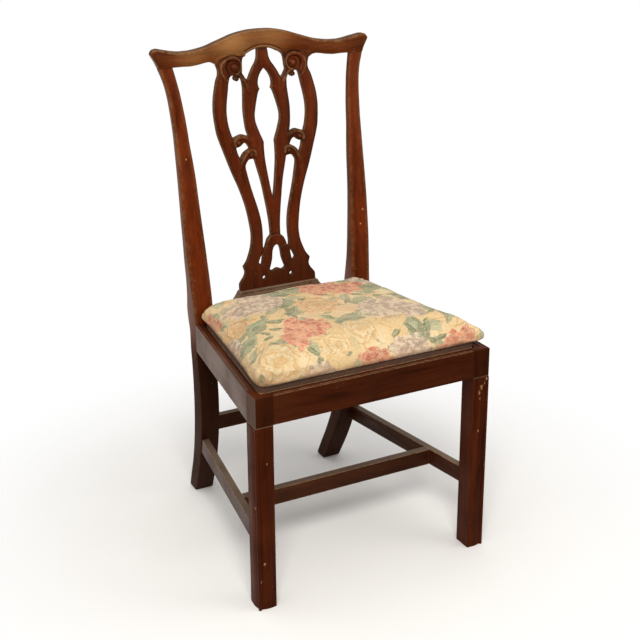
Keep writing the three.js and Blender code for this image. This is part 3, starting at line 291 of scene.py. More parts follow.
def wood(name, axis, tone=RAIL_TONE, edge=0.0, nicks=(), rough=(0.30, 0.44), shade_below=None, block=False, dusting_sheen=0.0,
         glows=(), shine=0.26, joints=(), crack=None):
    """Polished mahogany with its grain along one axis, edge being the rubbed arris that a bevel leaves, pale from use
    and as a painted highlight.

    The darkening below gives two heights, and the share of painted shade that grows from the upper one to the lower
    one. The dusting lies on what faces up, as real dusting and a painted sheen, and glows are places painted paler, as
    a painted highlight, and places painted darker. joints gives the axis and the stretch of it, off the middle, where
    an arris lies in a dark joint, and crack the ends and height of a pale one."""
    g = material_graph(name)
    place = g.objects()
    across, back, up = place.split()
    along = (place + place.noise(5.0, 2.0) * 0.02).grain(axis, 0.05)
    figure, fine = along.noise(60.0, 5.0, 0.6, 0.4), along.noise(460.0, 4.0, 0.65)
    pore = place.grain(axis, 0.09).noise(1500.0, 2.0, 0.5).step(0.34, 0.24)
    blotch, rub_highlight, chip = place.noise(12.0, 3.0, 0.55), place.noise(90.0, 5.0, 0.7), place.noise(420.0, 4.0, 0.7)
    dark, pale = tuple(v * 0.46 for v in tone), tuple(v * w for v, w in zip(tone, (1.42, 1.62, 1.7)))
    color = g.ramp(figure * 0.66 + fine * 0.34, ((0.37, dark), (0.51, tone), (0.65, pale)))
    color = color.mix(blotch.step(0.42, 0.72, 0.0, 0.40), dark)
    color = color.mix(place.noise(8.0, 2.0).step(0.50, 0.70, 0.0, 0.35), pale)
    color = color.mix(pore * 0.5, PORE)

    # Glows: the paler ones are a painted highlight, the others darker patches
    for x, y, z, radius, share, paint in glows:
        glow = place.math("DISTANCE", (x * MM, (y + SHIFT) * MM, z * MM)).past(radius, 0.0, 0.0, share)
        color = color.mix(glow * fine.step(0.2, 0.6, 0.6, 1.0), paint)
    # Painted shade, darker towards the bottom
    if shade_below:
        low, high, share = shade_below
        shade_low = up.past(low, high, share, 0.0)
        color = color.mix(shade_low, LOW_SHADE)
    # At the leg's corner block: a darker front face, a painted sheen on its side face like the side rail's, and a
    # painted highlight on the ledge below it, broken by a noise
    if block:
        in_block = up.past(BLOCK_FOOT - 0.3, BLOCK_FOOT + 0.3)
        front = back.past(SHIFT + BLOCK_FRONT + 0.5, SHIFT + BLOCK_FRONT - 0.5)
        side = abs(across).past(BLOCK_SIDE - 0.3, BLOCK_SIDE + 0.3)
        ledge = up.past(BLOCK_FOOT - 1.7, BLOCK_FOOT - 0.9) * up.past(BLOCK_FOOT + 0.7, BLOCK_FOOT + 0.1)
        color = color.mix(in_block * front * 0.42, DIRT_AND_SHADE).mix(in_block * side * 0.45, SIDE_SHEEN)
        color = color.mix(ledge * rub_highlight.step(0.30, 0.6, 0.10, 0.45), LEDGE_HIGHLIGHT)
    # Dusting on what faces up, which also stands in for a painted sheen there
    if dusting_sheen:
        level = g.field("ShaderNodeNewGeometry", output="Normal").split()[2]
        color = color.mix(level.step(0.25, 0.9, 0.0, dusting_sheen) * blotch.step(0.30, 0.62, 0.55, 1.0), DUST_AND_SHEEN)

    # Soiling and painted shade from the mesh, in the carving's hollows, along edges and on the posts' inner faces; and
    # the pale rubbed edges from the mesh, which also stand in for highlights
    grime_shade, rim = g.attribute("grime_shade"), g.attribute("wear_highlight")
    color = color.mix(grime_shade * 0.88, DIRT_AND_SHADE)
    if edge:
        rim = rim + edge
    # Less pale rubbing at the edges under the painted shade
    if shade_below:
        rim = (rim - shade_low * 0.9).clamped()
    for way, low, high in joints:
        off = abs((across, back)[way])
        in_joint = off.past(low - 0.4, low) * off.past(high + 0.4, high)
        if block:
            in_joint = in_joint * up.past(BLOCK_FOOT - 0.3, BLOCK_FOOT + 1.0)
        rim = (rim - in_joint).clamped()
        color = color.mix(in_joint * 0.8, DIRT_AND_SHADE)
    # Pale rubbed edges, which also serve as a painted highlight along them
    worn_highlight = (rim * rub_highlight.step(0.36 if edge else 0.40, 0.60, 0.22, 1.0)).clamped()
    color = color.mix(worn_highlight * (0.9 if edge else 0.66), RUBBED_AND_HIGHLIGHT if edge else WORN_AND_HIGHLIGHT)

    if crack:
        low, high, height = crack
        line = abs(up + (rub_highlight - 0.5) * 0.003 - height * MM).past(1.1, 0.5) * back.past(SHIFT + 455, SHIFT + 453)
        color = color.mix(line * across.past(low, low + 2) * across.past(high, high - 2) * 0.62, CHALK)
    color = color.mix(place.noise(190.0, 2.0, 0.4).step(0.745, 0.78) * 0.45, WORN_AND_HIGHLIGHT)
    flat_y, flat_z = 0.6, 0.5
    for x, y, z, size, paint in nicks:
        away = place.mapped((1.0, flat_y, flat_z)).math(
            "DISTANCE", (x * MM, (y + SHIFT) * MM * flat_y, z * MM * flat_z))
        ragged = away + (chip - 0.42) * (size * MM * 4.0)
        color = color.mix(ragged.past(size * 1.15, size * 0.7) * 0.85, paint)

    dull = worn_highlight * 0.12 + grime_shade * 0.35
    if shade_below:
        dull = dull + shade_low * 0.4
    return g.finish(Base_Color=color, Roughness=blotch.step(0.3, 0.75, *rough) + dull,
                    Normal=g.bump(fine * 0.3 - pore, 0.00012, 0.8), Specular_IOR_Level=shine,
                    Specular_Tint=(1.0, 0.62, 0.36))


def raw_wood(name, axis):
    """Plain pale timber for the pieces that nobody sees."""
    g = material_graph(name)
    place = g.objects()
    figure = place.grain(axis, 0.05).noise(70.0, 5.0, 0.6, 0.8)
    color = g.ramp(figure, ((0.3, (0.24, 0.13, 0.055)), (0.55, (0.40, 0.25, 0.12)), (0.75, (0.50, 0.34, 0.18))))
    color = color.mix(place.noise(22.0, 4.0, 0.6).step(0.45, 0.75, 0.0, 0.5), (0.10, 0.06, 0.03))
    return g.finish(Base_Color=color, Roughness=figure.step(0.2, 0.8, 0.65, 0.85),
                    Normal=g.bump(figure + place.noise(600.0, 2.0) * 0.3, 0.0004, 0.7))


def woven(name, dark, pale, pitch, depth, stripe=None):
    """A plain weave of coarse threads, for webbing and burlap."""
    g = material_graph(name)
    place = g.objects()
    parts = place.split()
    wobble = (place.noise(90.0, 2.0) - 0.5) * 1.6
    warp, weft = ((part * (math.pi / pitch) + wobble).math("SINE") for part in parts[:2])
    over = (warp * weft + 1.0) * 0.5
    fuzz = place.noise(1400.0, 3.0, 0.7)
    color = g.mix((over + fuzz) * 0.5, dark, pale)
    color = color.mix(place.noise(16.0, 3.0).step(0.5, 0.8, 0.0, 0.45), dark)
    if stripe:
        axis, places, half, tone = stripe
        for at in places:
            color = color.mix(abs(parts[axis] - at).step(half * 1.15, half * 0.85, 0.0, 0.8), tone)
    return g.finish(Base_Color=color, Roughness=0.92, Sheen_Weight=0.15, Sheen_Roughness=0.6,
                    Normal=g.bump(over + fuzz * 0.5, depth, 0.8))


def metal(name, tone, rust):
    g = material_graph(name)
    spots = g.objects().noise(420.0, 4.0, 0.6)
    return g.finish(Base_Color=g.mix(spots.step(0.45, 0.68), tone, rust),
                    Metallic=spots.step(0.45, 0.72, 0.95, 0.25), Roughness=spots.step(0.35, 0.7, 0.32, 0.75),
                    Normal=g.bump(spots, 0.0002, 0.5))


def petals(place, scale, count, reach, seedling, spots, randomness):
    """Masks of small blossoms gathered in clusters: the cluster, its petals, their rims, their eyes and a tone."""
    away, middle, (spin, tone, late) = place.mapped(move=seedling).cells(scale, randomness)
    middle = middle.mapped((1, 1, 0))
    group = None
    for u, v, radius in spots:
        far = middle.math("DISTANCE", (u * MM + seedling[0], v * MM + seedling[1], 0.0))
        inside = (far + late * 0.012).math("LESS_THAN", radius * MM + 0.006)
        group = group.math("MAXIMUM", inside) if group else inside
    across, up, _ = away.split()
    turned = up.math("ARCTAN2", across) * (count / 2) + spin * 6.3
    lobe = abs(turned.math("COSINE")).math("POWER", 0.6)
    ratio = away.mapped((1, 1, 0)).math("LENGTH") / ((lobe * 0.45 + 0.55) * reach)
    return group, ratio.step(1.08, 0.92) * group, ratio.step(0.55, 0.98), ratio.step(0.36, 0.24), tone


def rose(place, color, u, v, radius, turn, tones):
    """One full-blown blossom of overlapping petals, painted over a colour."""
    away = place.mapped((1, 1, 0)) - (u * MM, v * MM, 0.0)
    across, up, _ = away.split()
    angle = up.math("ARCTAN2", across)
    far = away.math("LENGTH") / (radius * MM)
    scallop = abs((angle * 2.5 + turn).math("SINE"))
    inner = abs((angle * 1.5 + far * 3.0).math("SINE"))
    swirl = far * 2.9 + angle * (1 / math.pi)
    petal = (swirl + 4.0 - inner * 0.62 + place.noise(60.0, 3.0, 0.6) * 1.3).math("FRACT")
    shade = color.graph.mix(petal.step(0.0, 0.62), tones[0], tones[1])
    shade = shade.mix(petal.step(0.66, 0.96), tones[2])
    shade = shade.mix(petal.step(0.93, 0.99) * 0.38, tones[3])
    shade = shade.mix(place.noise(75.0, 4.0, 0.7).step(0.47, 0.64, 0.0, 0.55), tones[0])
    shade = shade.mix(far.step(0.34, 0.10, 0.0, 0.7), tones[0])
    return color.mix((far - scallop * 0.16).step(0.90, 0.85) * 0.84, shade)


def leaves(place, scale, long, wide, seedling, keep):
    """Masks of scattered leaves: their blade, their veins, which half is in shade, and a tone."""
    away, _, (spin, chance, tone) = place.mapped(move=seedling).cells(scale, 0.75)
    x, y, _ = away.split()
    turn = spin * 6.283
    c, s = turn.math("COSINE"), turn.math("SINE")
    u = x * c + y * s
    v = y * c - x * s + u * u * (0.22 / long)
    t = u / long
    teeth = (t * 34.0).math("SINE") * 0.07 + 1.0
    half = (1.0 - t * t).clamped() * (1.0 - t * 0.35) * wide * teeth
    off = abs(v)
    blade = (off - half).step(0.0006, -0.0006) * chance.step(keep - 0.01, keep + 0.01)
    comb = ((u - off * 0.9) * 900.0).math("SINE")
    veins = off.step(0.0009, 0.0002).math("MAXIMUM", comb.step(0.86, 0.97, 0.0, 0.7))
    return blade, veins, v.step(-0.0015, 0.0015), tone


# Where the print's blossoms lie, in millimetres on the unrolled cloth: place and reach, and a turn for the roses
CORAL = ((40, 50, 46), (85, 20, 34), (-85, -130, 44), (-125, -165, 32), (200, -60, 36), (-225, 60, 40), (215, 120, 34),
         (10, -265, 38), (-70, 165, 34), (185, -260, 34))
LILAC = ((-120, 30, 56), (90, -110, 50), (130, -140, 36), (160, 65, 42), (-245, -75, 44), (85, -245, 40),
         (40, 165, 40), (-105, -275, 38), (270, -165, 40))
ROSES = ((-185, -215, 48, 0.4), (-15, -40, 44, 1.7), (245, 20, 38, 0.9), (-190, -35, 32, 2.2), (5, -180, 36, 3),
         (-255, 165, 36, 1.1), (-60, -205, 28, 2), (120, 160, 36, 2.6))
PEACHY = ((0.58, 0.26, 0.10), (0.74, 0.47, 0.22), (0.80, 0.60, 0.34), (0.50, 0.25, 0.10))
CREAMY = ((0.62, 0.37, 0.14), (0.78, 0.60, 0.33), (0.84, 0.70, 0.46), (0.52, 0.30, 0.13))


def floral(name):
    """A faded print of blossoms and leaves on cream cotton."""
    g = material_graph(name)
    place = g.field("ShaderNodeUVMap", uv_map="print")
    wash, wander, brush = place.noise(9.0, 3.0, 0.55), place.noise(26.0, 3.0, 0.6), place.noise(110.0, 4.0, 0.65)
    bent = place + (place.noise(38.0, output="Color") - (0.5, 0.5, 0.5)) * (0.018, 0.018, 0.0)
    bent = bent + (place.noise(170.0, 2.0, output="Color") - (0.5, 0.5, 0.5)) * (0.0042, 0.0042, 0.0)
    color = g.mix(wash.step(0.36, 0.66), (0.74, 0.52, 0.25), (0.82, 0.66, 0.40))
    color = color.mix(place.noise(6.5, 2.0).step(0.50, 0.70, 0.0, 0.6), (0.76, 0.43, 0.22))
    color = color.mix(brush.step(0.50, 0.72, 0.0, 0.35), (0.62, 0.42, 0.18))
    # Ochre stems
    for seedling, scale in (((3.1, 1.7, 0), 11.0), ((5.3, 0.4, 0), 17.0)):
        lines = abs(place.mapped(move=seedling).noise(scale, 1.0) - 0.5)
        color = color.mix(lines.step(0.012, 0.006) * wander.step(0.42, 0.52) * 0.6, (0.50, 0.27, 0.08))
    # Leaves, large and pale, then small and dark
    for scale, long, wide, seedling, keep, pale, dark, weight in (
            (15.0, 0.034, 0.0210, (0.3, 0.1, 0), 0.42, (0.37, 0.40, 0.24), (0.105, 0.150, 0.085), 0.90),
            (23.0, 0.021, 0.0105, (2.3, 0.7, 0), 0.52, (0.48, 0.50, 0.31), (0.20, 0.25, 0.15), 0.82),
            (33.0, 0.014, 0.0062, (1.3, 2.1, 0), 0.55, (0.22, 0.27, 0.14), (0.075, 0.11, 0.055), 0.88)):
        blade, veins, side, tone = leaves(bent, scale, long, wide, seedling, keep)
        tint = g.mix((side + tone) * 0.5, dark, pale).mix(brush.step(0.42, 0.62, 0.0, 0.4), dark)
        color = color.mix(blade * weight, tint.mix(veins * 0.5, (0.58, 0.56, 0.36)))
    for at, (u, v, radius, turn) in enumerate(ROSES):
        color = rose(bent, color, u, v, radius, turn, (CREAMY, PEACHY)[at % 2])
    # Lilac florets
    group, flower, rim, eye, tone = petals(bent, 112.0, 4, 0.0056, (0.7, 0.2, 0), LILAC, 0.6)
    color = color.mix(group * 0.92, color.mix(brush.step(0.34, 0.62, 0.35, 0.85), (0.40, 0.27, 0.22)))
    lilac = g.mix(tone.step(0.25, 0.75), (0.38, 0.255, 0.235), (0.76, 0.61, 0.47))
    lilac = lilac.mix(rim * brush.step(0.40, 0.60, 0.1, 0.6), (0.78, 0.66, 0.52))
    lilac = lilac.mix(eye * tone.step(0.3, 0.6, 0.2, 0.8), (0.80, 0.65, 0.36))
    color = color.mix(flower * brush.step(0.30, 0.55, 0.45, 0.9), lilac)
    # Coral blossoms
    group, flower, rim, eye, tone = petals(bent, 66.0, 5, 0.0098, (0.1, 0.9, 0), CORAL, 0.75)
    color = color.mix(group * 0.93, color.mix(brush.step(0.34, 0.62, 0.55, 0.95), (0.58, 0.165, 0.095)))
    coral = g.mix(tone.step(0.2, 0.8), (0.50, 0.085, 0.055), (0.80, 0.33, 0.19))
    coral = coral.mix(rim * brush.step(0.36, 0.58, 0.2, 0.95), (0.84, 0.55, 0.36))
    coral = coral.mix(eye * 0.45, (0.50, 0.10, 0.07))
    color = color.mix(flower * wander.step(0.34, 0.52, 0.55, 0.93), coral)
    # Faded and speckled
    touch, speckle = place.mapped((1, 1.6, 1)).noise(210.0, 2.0, 0.6), place.noise(430.0, 3.0, 0.75)
    for share, paint in ((brush.step(0.44, 0.70, 0.0, 0.30), (0.80, 0.62, 0.36)),
                         (place.noise(5.0, 2.0).step(0.46, 0.70, 0.0, 0.15), (0.76, 0.60, 0.38)),
                         (touch.step(0.56, 0.66, 0.0, 0.34), (0.30, 0.19, 0.09)),
                         (touch.step(0.43, 0.35, 0.0, 0.36), (0.90, 0.76, 0.50)),
                         (speckle.step(0.52, 0.68, 0.0, 0.36), (0.36, 0.23, 0.11)),
                         (speckle.step(0.47, 0.34, 0.0, 0.25), (0.86, 0.72, 0.46)),
                         # Last, soiling with painted shade, from the mesh
                         (g.attribute("soil_and_shade") * wash.step(0.3, 0.65, 0.45, 1.0), (0.34, 0.17, 0.07))):
        color = color.mix(share, paint)
    # A painted shadow band where the cloth turns under its edge, brown lower down and darkest at its top
    level = g.objects().split()[2] + (brush - 0.5) * 0.002
    shadow_band = g.attribute("shadow_band").step(0.1, 0.6) * level.past(*SHADOW_BAND_TOP)
    color = color.mix(shadow_band * 0.95, g.mix(level.past(*SHADOW_BAND_FOOT), (0.078, 0.030, 0.014), (0.014, 0.0055, 0.003)))
    # Plain weave, a thread to half a millimetre, with slubs and creases
    warp, weft = ((part * (math.pi / 0.0006)).math("SINE") for part in place.split()[:2])
    slub = place.mapped((1, 0.15, 1)).noise(700.0, 3.0)
    creases = abs(place.mapped((1, 0.7, 1)).noise(34.0, 3.0, 0.5) - 0.5).step(0.0, 0.10, 0.0, 6.0)
    color = color.mix(slub.step(0.55, 0.8, 0.0, 0.14), (0.48, 0.33, 0.19))
    return g.finish(Base_Color=color, Roughness=wash.step(0.3, 0.7, 0.74, 0.88), Sheen_Weight=0.05,
                    Sheen_Roughness=0.5, Normal=g.bump(warp * weft * 0.4 + slub + creases, 0.00018, 0.7))


POST_NICKS = ((196, 404, 612, 2.4, PALE), (189, 398, 582, 1.8, PALE), (205, 448, 921, 3.0, CHALK),
              (203, 400, 545, 2.0, PALE), (-196, 392, 520, 1.8, PALE), (-190, 425, 760, 1.6, PALE))
LEG_NICKS = ((232, -1, 351, 3.6, PALE), (240, -1, 357, 2.6, PALE), (237, -1, 345, 2.4, DARK),
             (227, -1, 340, 2.8, PALE), (229, -1, 327, 1.8, PALE), (243, -1, 366, 2.2, PALE),
             (228, -1, 258, 2.0, PALE), (246, 0, 180, 1.6, PALE), (-236, -1, 96, 2.4, PALE),
             (-244, 0, 60, 2.2, PALE), (-248, 10, 210, 1.8, PALE), (-228, -1, 300, 1.6, PALE))
SPLAT_NICKS = ((-58, 434, 640, 1.8, PALE), (-66, 436, 618, 1.4, PALE), (14, 423, 556, 1.3, CHALK),
               (19, 423, 559, 1.3, CHALK), (78, 435, 640, 1.4, PALE), (2, 428, 628, 2.2, DARK))

# The posts and the splat get painted shade, darker towards their lower parts
UP_WOOD = wood("mahogany_up", 2, POST_TONE, nicks=POST_NICKS, shade_below=(320, 460, 0.88), shine=0.22,
               crack=(196, 214, 931.6))
LEG_WOOD = wood("mahogany_leg", 2, LEG_TONE, nicks=LEG_NICKS, rough=(0.40, 0.54), block=True, shine=0.07)
LEG_EDGE = wood("mahogany_leg_edge", 2, LEG_TONE, edge=0.45, block=True, shine=0.08,
                joints=((0, 210.5, 216), (1, 211.5, 217)))
SPLAT_WOOD = wood("mahogany_splat", 2, SPLAT_TONE, nicks=SPLAT_NICKS, shade_below=(480, 640, 0.45))
# The crest's golden glows are a painted highlight on its upper left and middle; the russet ones are darker, redder
# patches
CREST_WOOD = wood("mahogany_crest", 0, CREST_TONE,
                  nicks=((-92, 447, 948, 2.2, CHALK), (205, 457, 933.2, 3.0, CHALK)), rough=(0.26, 0.40),
                  glows=((-66, 470, 980, 72, 1.0, GOLDEN_HIGHLIGHT), (-150, 463, 955, 62, 0.45, GOLDEN_HIGHLIGHT),
                         (20, 471, 988, 66, 0.65, GOLDEN_HIGHLIGHT), (-45, 455, 938, 36, 0.20, RUSSET),
                         (55, 455, 938, 44, 0.45, RUSSET), (-235, 450, 950, 62, 0.75, RUSSET),
                         (235, 450, 950, 75, 0.70, RUSSET), (95, 463, 955, 50, 0.45, RUSSET),
                         (-112, 460, 938, 30, 0.40, RUSSET)))
CROSS_WOOD = wood("mahogany_cross", 0, RAIL_TONE)
CROSS_EDGE = wood("mahogany_cross_edge", 0, RAIL_TONE, edge=0.75, joints=((0, 210.5, 216),))
SIDE_WOOD = wood("mahogany_side", 1, RAIL_TONE)
SIDE_EDGE = wood("mahogany_side_edge", 1, RAIL_TONE, edge=0.55, joints=((1, 211.5, 217),))
BAR_X_WOOD = wood("mahogany_bar_cross", 0, BAR_TONE, rough=(0.36, 0.5), dusting_sheen=0.40, shine=0.16)
BAR_X_EDGE = wood("mahogany_bar_cross_edge", 0, BAR_TONE, edge=0.8)
BAR_Y_WOOD = wood("mahogany_bar_side", 1, BAR_TONE, rough=(0.36, 0.5), dusting_sheen=0.65, shine=0.16)
BAR_Y_EDGE = wood("mahogany_bar_side_edge", 1, BAR_TONE, edge=0.8)
SHOE_WOOD = wood("mahogany_shoe", 0, RAIL_TONE, dusting_sheen=0.75)
PLAIN_CROSS, PLAIN_SIDE = raw_wood("ash_cross", 0), raw_wood("ash_side", 1)
STEEL = metal("steel", (0.42, 0.40, 0.37), (0.13, 0.06, 0.03))
JUTE = (0.20, 0.12, 0.055), (0.50, 0.36, 0.20)
BURLAP = woven("burlap_weave", (0.16, 0.10, 0.045), (0.46, 0.33, 0.18), 0.0022, 0.0005)


# CAD nodes that keep their own shape

def dress(name, material, edge=None, bevel=0.7):
    """The CAD node with a finish, and with its sharp edges eased."""
    obj = NODES[name]
    obj.data.materials.clear()
    for paint in (material, edge or material):
        obj.data.materials.append(paint)
    modify(obj, "WELD", merge_threshold=0.00001)
    modify(obj, "BEVEL", width=bevel * MM, segments=2, limit_method="ANGLE", angle_limit=math.radians(32), material=1,
           harden_normals=True)


for side in ("left", "right"):
    dress(f"{side}_front_leg", LEG_WOOD, LEG_EDGE, 0.9)
    dress(f"{side}_side_seat_rail", SIDE_WOOD, SIDE_EDGE, 1.2)
    dress(f"{side}_side_stretcher", BAR_Y_WOOD, BAR_Y_EDGE, 1.0)
    dress(f"{side}_seat_frame_side", PLAIN_SIDE)
    for end in ("front", "rear"):
        dress(f"{side}_{end}_corner_block", PLAIN_CROSS)
        for at in (1, 2):
            dress(f"{side}_{end}_block_screw_{at}", STEEL, bevel=0.2)
for name in ("front_seat_rail", "rear_seat_rail"):
    dress(name, CROSS_WOOD, CROSS_EDGE, 1.3)
for name in ("medial_stretcher", "rear_stretcher"):
    dress(name, BAR_X_WOOD, BAR_X_EDGE, 1.0)
dress("splat_shoe", SHOE_WOOD, CROSS_EDGE, 0.8)
for name in ("seat_frame_front", "seat_frame_rear"):
    dress(name, PLAIN_CROSS)
for at in range(12):
    dress(f"cover_tack_{at + 1}", STEEL, bevel=0.25)


# Rear legs with their posts: shares of the leg's splay and the post's flare, width and depth, by height

LEG_ROWS = ((0, 1, 1, 0.87), (0.012, 0.97, 0.99, 1.06), (0.047, 0.885, 0.95, 1.12), (0.105, 0.75, 0.88, 1.18),
            (0.186, 0.577, 0.79, 1.19), (0.279, 0.413, 0.68, 1.2), (0.384, 0.255, 0.56, 1.25),
            (0.488, 0.133, 0.44, 1.27), (0.593, 0.051, 0.32, 1.25), (0.698, 0.012, 0.2, 1.17), (0.79, 0, 0.09, 1.07),
            (0.867, 0, 0, 1), (0.94, 0, 0, 1.02), (0.98, 0, 0, 1.15))
POST_ROWS = ((0, 0, 1, 1.25), (0.04, 0.01, 1.02, 1.29), (0.08, 0.03, 1.03, 1.14), (0.12, 0.07, 1.045, 0.98),
             (0.18, 0.13, 1.05, 0.82), (0.26, 0.2, 1.04, 0.74), (0.34, 0.22, 1, 0.69), (0.42, 0.24, 0.96, 0.655),
             (0.5, 0.23, 0.91, 0.625), (0.58, 0.21, 0.86, 0.605), (0.66, 0.2, 0.78, 0.59), (0.73, 0.2, 0.71, 0.565),
             (0.81, 0.26, 0.68, 0.54), (0.85, 0.31, 0.655, 0.53), (0.89, 0.39, 0.645, 0.515), (0.93, 0.53, 0.65, 0.5),
             (0.96, 0.7, 0.68, 0.49), (1, 1, 0.75, 0.48))
POST_WIDTH, POST_DEPTH = 40.5, 31.0
INSET, SPLAY, BOW, FLARE, FOOT_ROUND = 23.4, 98, 7, 23, 4.5


def post_table():
    """Height, outer side, width, front face and depth, from the floor up."""
    rows = [(SEAT_HEIGHT * h, HALF_REAR - INSET * inset, POST_WIDTH, SEAT_DEPTH + SPLAY * splay, POST_DEPTH * depth)
            for h, splay, inset, depth in LEG_ROWS]
    for h, flare, width, depth in POST_ROWS:
        z = SEAT_HEIGHT + (POST_TOP - SEAT_HEIGHT) * h
        front = SEAT_DEPTH + (z - SEAT_HEIGHT) * RAKE - BOW * math.sin(math.pi * h)
        rows.append((z, HALF_REAR + FLARE * flare, POST_WIDTH * width, front, POST_DEPTH * depth))
    return np.array(rows).T


def corner_arc(centre, radius, start, steps=4):
    return [(centre[0] + radius * math.cos(start + math.pi / 2 * k / steps),
             centre[1] + radius * math.sin(start + math.pi / 2 * k / steps)) for k in range(steps + 1)]


def lofted(name, rings, wear_highlight, material, flip=False, angle=40, grime_shade=None):
    """One closed piece through rings of points, with flat ends."""
    count = len(rings[0])
    points = [p for ring in rings for p in ring]
    faces = []
    for r in range(len(rings) - 1):
        for k in range(count):
            a, b = r * count + k, r * count + (k + 1) % count
            faces.append((a, b, b + count, a + count))
    faces.append(tuple(range(count))[::-1])
    faces.append(tuple((len(rings) - 1) * count + k for k in range(count)))
    if flip:
        faces = [f[::-1] for f in faces]
    return make_mesh(name, points, faces, material, wear_highlight=wear_highlight, grime_shade=grime_shade, angle=angle)


def build_post(side):
    height, *columns = post_table()
    heights = np.unique(np.concatenate([[0, 0.4, 1.3, 2.6], np.linspace(FOOT_ROUND, POST_TOP, 120)]))
    # Paleness by ring point: rubbed corners, which also stand in for highlights
    ring_wear_highlight = list(np.repeat((0.35, 0, 0.6, 0, 0.4, 0, 0.4, 0), (5, 4, 5, 2, 5, 2, 5, 2)))
    rings, wear_highlight, grime_shade = [], [], []
    for z, out, wide, fore, deep in zip(heights, *(monotone(height, column, heights) for column in columns)):
        above = min(1.0, max(0.0, (z - SEAT_HEIGHT) / (POST_TOP - SEAT_HEIGHT) / 0.45))
        arris, back = 1.6 + 1.1 * above, 1.4 + 5.1 * above
        shrink = FOOT_ROUND - math.sqrt(max(0.0, FOOT_ROUND ** 2 - max(0.0, FOOT_ROUND - z) ** 2))
        low, high = out - wide + shrink, out - shrink
        near, far = fore + shrink, fore + deep - shrink
        ring = corner_arc((low + arris, near + arris), arris, math.pi)
        ring += [(low + arris + (high - low - 2 * arris) * s, near - above * (1 - (2 * s - 1) ** 2))
                 for s in (0.2, 0.4, 0.6, 0.8)]
        ring += corner_arc((high - arris, near + arris), arris, 1.5 * math.pi)
        ring += [(high, near + arris + (far - back - near - arris) * s) for s in (0.33, 0.67)]
        ring += corner_arc((high - back, far - back), back, 0)
        ring += [(high - back + (low - high + 2 * back) * s, far) for s in (0.33, 0.67)]
        ring += corner_arc((low + back, far - back), back, math.pi / 2)
        ring += [(low, far - back + (near + arris - far + back) * s) for s in (0.33, 0.67)]
        rings.append([(side * x, y, z) for x, y in ring])
        wear_highlight += ring_wear_highlight
        # Painted shade on the inner face, towards the splat, above the seat
        inner = 0.5 * above
        grime_shade += [inner] + [0.0] * 25 + [inner * 0.5] * 2 + [inner] * 2
    word = "right" if side > 0 else "left"
    post = lofted(f"{word}_post", rings, wear_highlight, UP_WOOD, flip=side < 0, grime_shade=grime_shade)
    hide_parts(f"{word}_rear_leg_post")


build_post(1)
build_post(-1)


# The splat's outlines: the right half, in thousandths of its half width across and of its height up from the shoe

SEAM = ((336, 977), (397, 975), (500, 976), (647, 976), (776, 972), (853, 962), (888, 948))
SIDE = (((752, 0), (750, 21), (746, 28), (716, 39), (655, 58), (629, 76)), ((629, 76), (659, 101)), ((659, 101),
        (595, 120), (552, 140), (491, 181), (466, 222), (474, 264), (530, 347), (629, 429), (759, 511), (875, 594),
        (931, 635), (974, 676), (1000, 748), (987, 800), (953, 841), (905, 882), (866, 903), (858, 924), (888, 948)))
VOID = (((336, 977), (384, 965), (401, 944), (405, 924), (414, 907), (388, 896), (358, 884), (315, 877)), ((315, 877),
        (259, 903), (207, 924), (147, 944), (112, 965), (103, 985), (95, 1000)))
UPPER = (((603, 900), (655, 894), (681, 875), (707, 841), (741, 800), (763, 759), (759, 718), (728, 676), (685, 646)),
         ((685, 646), (603, 653), (517, 658), (431, 652), (392, 649)), ((392, 649), (422, 676), (440, 718), (444, 759),
         (431, 800), (418, 841), (427, 872)), ((427, 872), (448, 885), (484, 886), (496, 879), (534, 875), (573, 881),
         (582, 889), (565, 897), (603, 900)))
SCROLL = (((388, 597), (431, 615), (483, 623), (526, 616), (573, 609), (638, 606)), ((638, 606), (625, 588),
          (603, 573), (569, 556)), ((569, 556), (534, 573), (474, 586), (388, 597)))
LOWER = (((487, 515), (483, 531), (431, 549), (371, 553), (306, 550)), ((306, 550), (267, 511), (224, 470), (190, 429),
         (164, 388), (138, 347), (116, 306), (99, 264), (95, 220)), ((95, 220), (155, 206), (190, 188), (216, 171),
         (250, 161)), ((250, 161), (261, 181), (252, 222), (254, 264), (276, 306), (315, 347), (362, 388), (409, 429),
         (448, 470), (487, 515)))
HOOP_SIDE = (((276, 153), (353, 116), (345, 105), (302, 101), (272, 136), (276, 153)),)
MIDDLE = (((0, 920), (34, 913), (78, 900), (116, 882), (134, 862), (125, 845), (108, 837)), ((108, 837), (147, 821),
          (198, 780), (237, 739), (241, 718), (228, 697), (168, 655), (134, 635), (108, 619)), ((108, 619), (112, 594),
          (108, 552), (91, 511), (43, 429), (0, 371)))
HOOP = (((0, 177), (43, 172), (73, 159), (86, 140), (95, 120), (121, 97), (155, 74)), ((155, 74), (121, 67), (86, 65),
        (52, 69), (0, 73)))
DROP_HOLE, DROP_RADIUS = (267, 41), 4.0


def on_splat(place):
    return SPLAT_HALF * (place[0] / 1000), SPLAT_FOOT + SPLAT_HEIGHT * (place[1] / 1000)


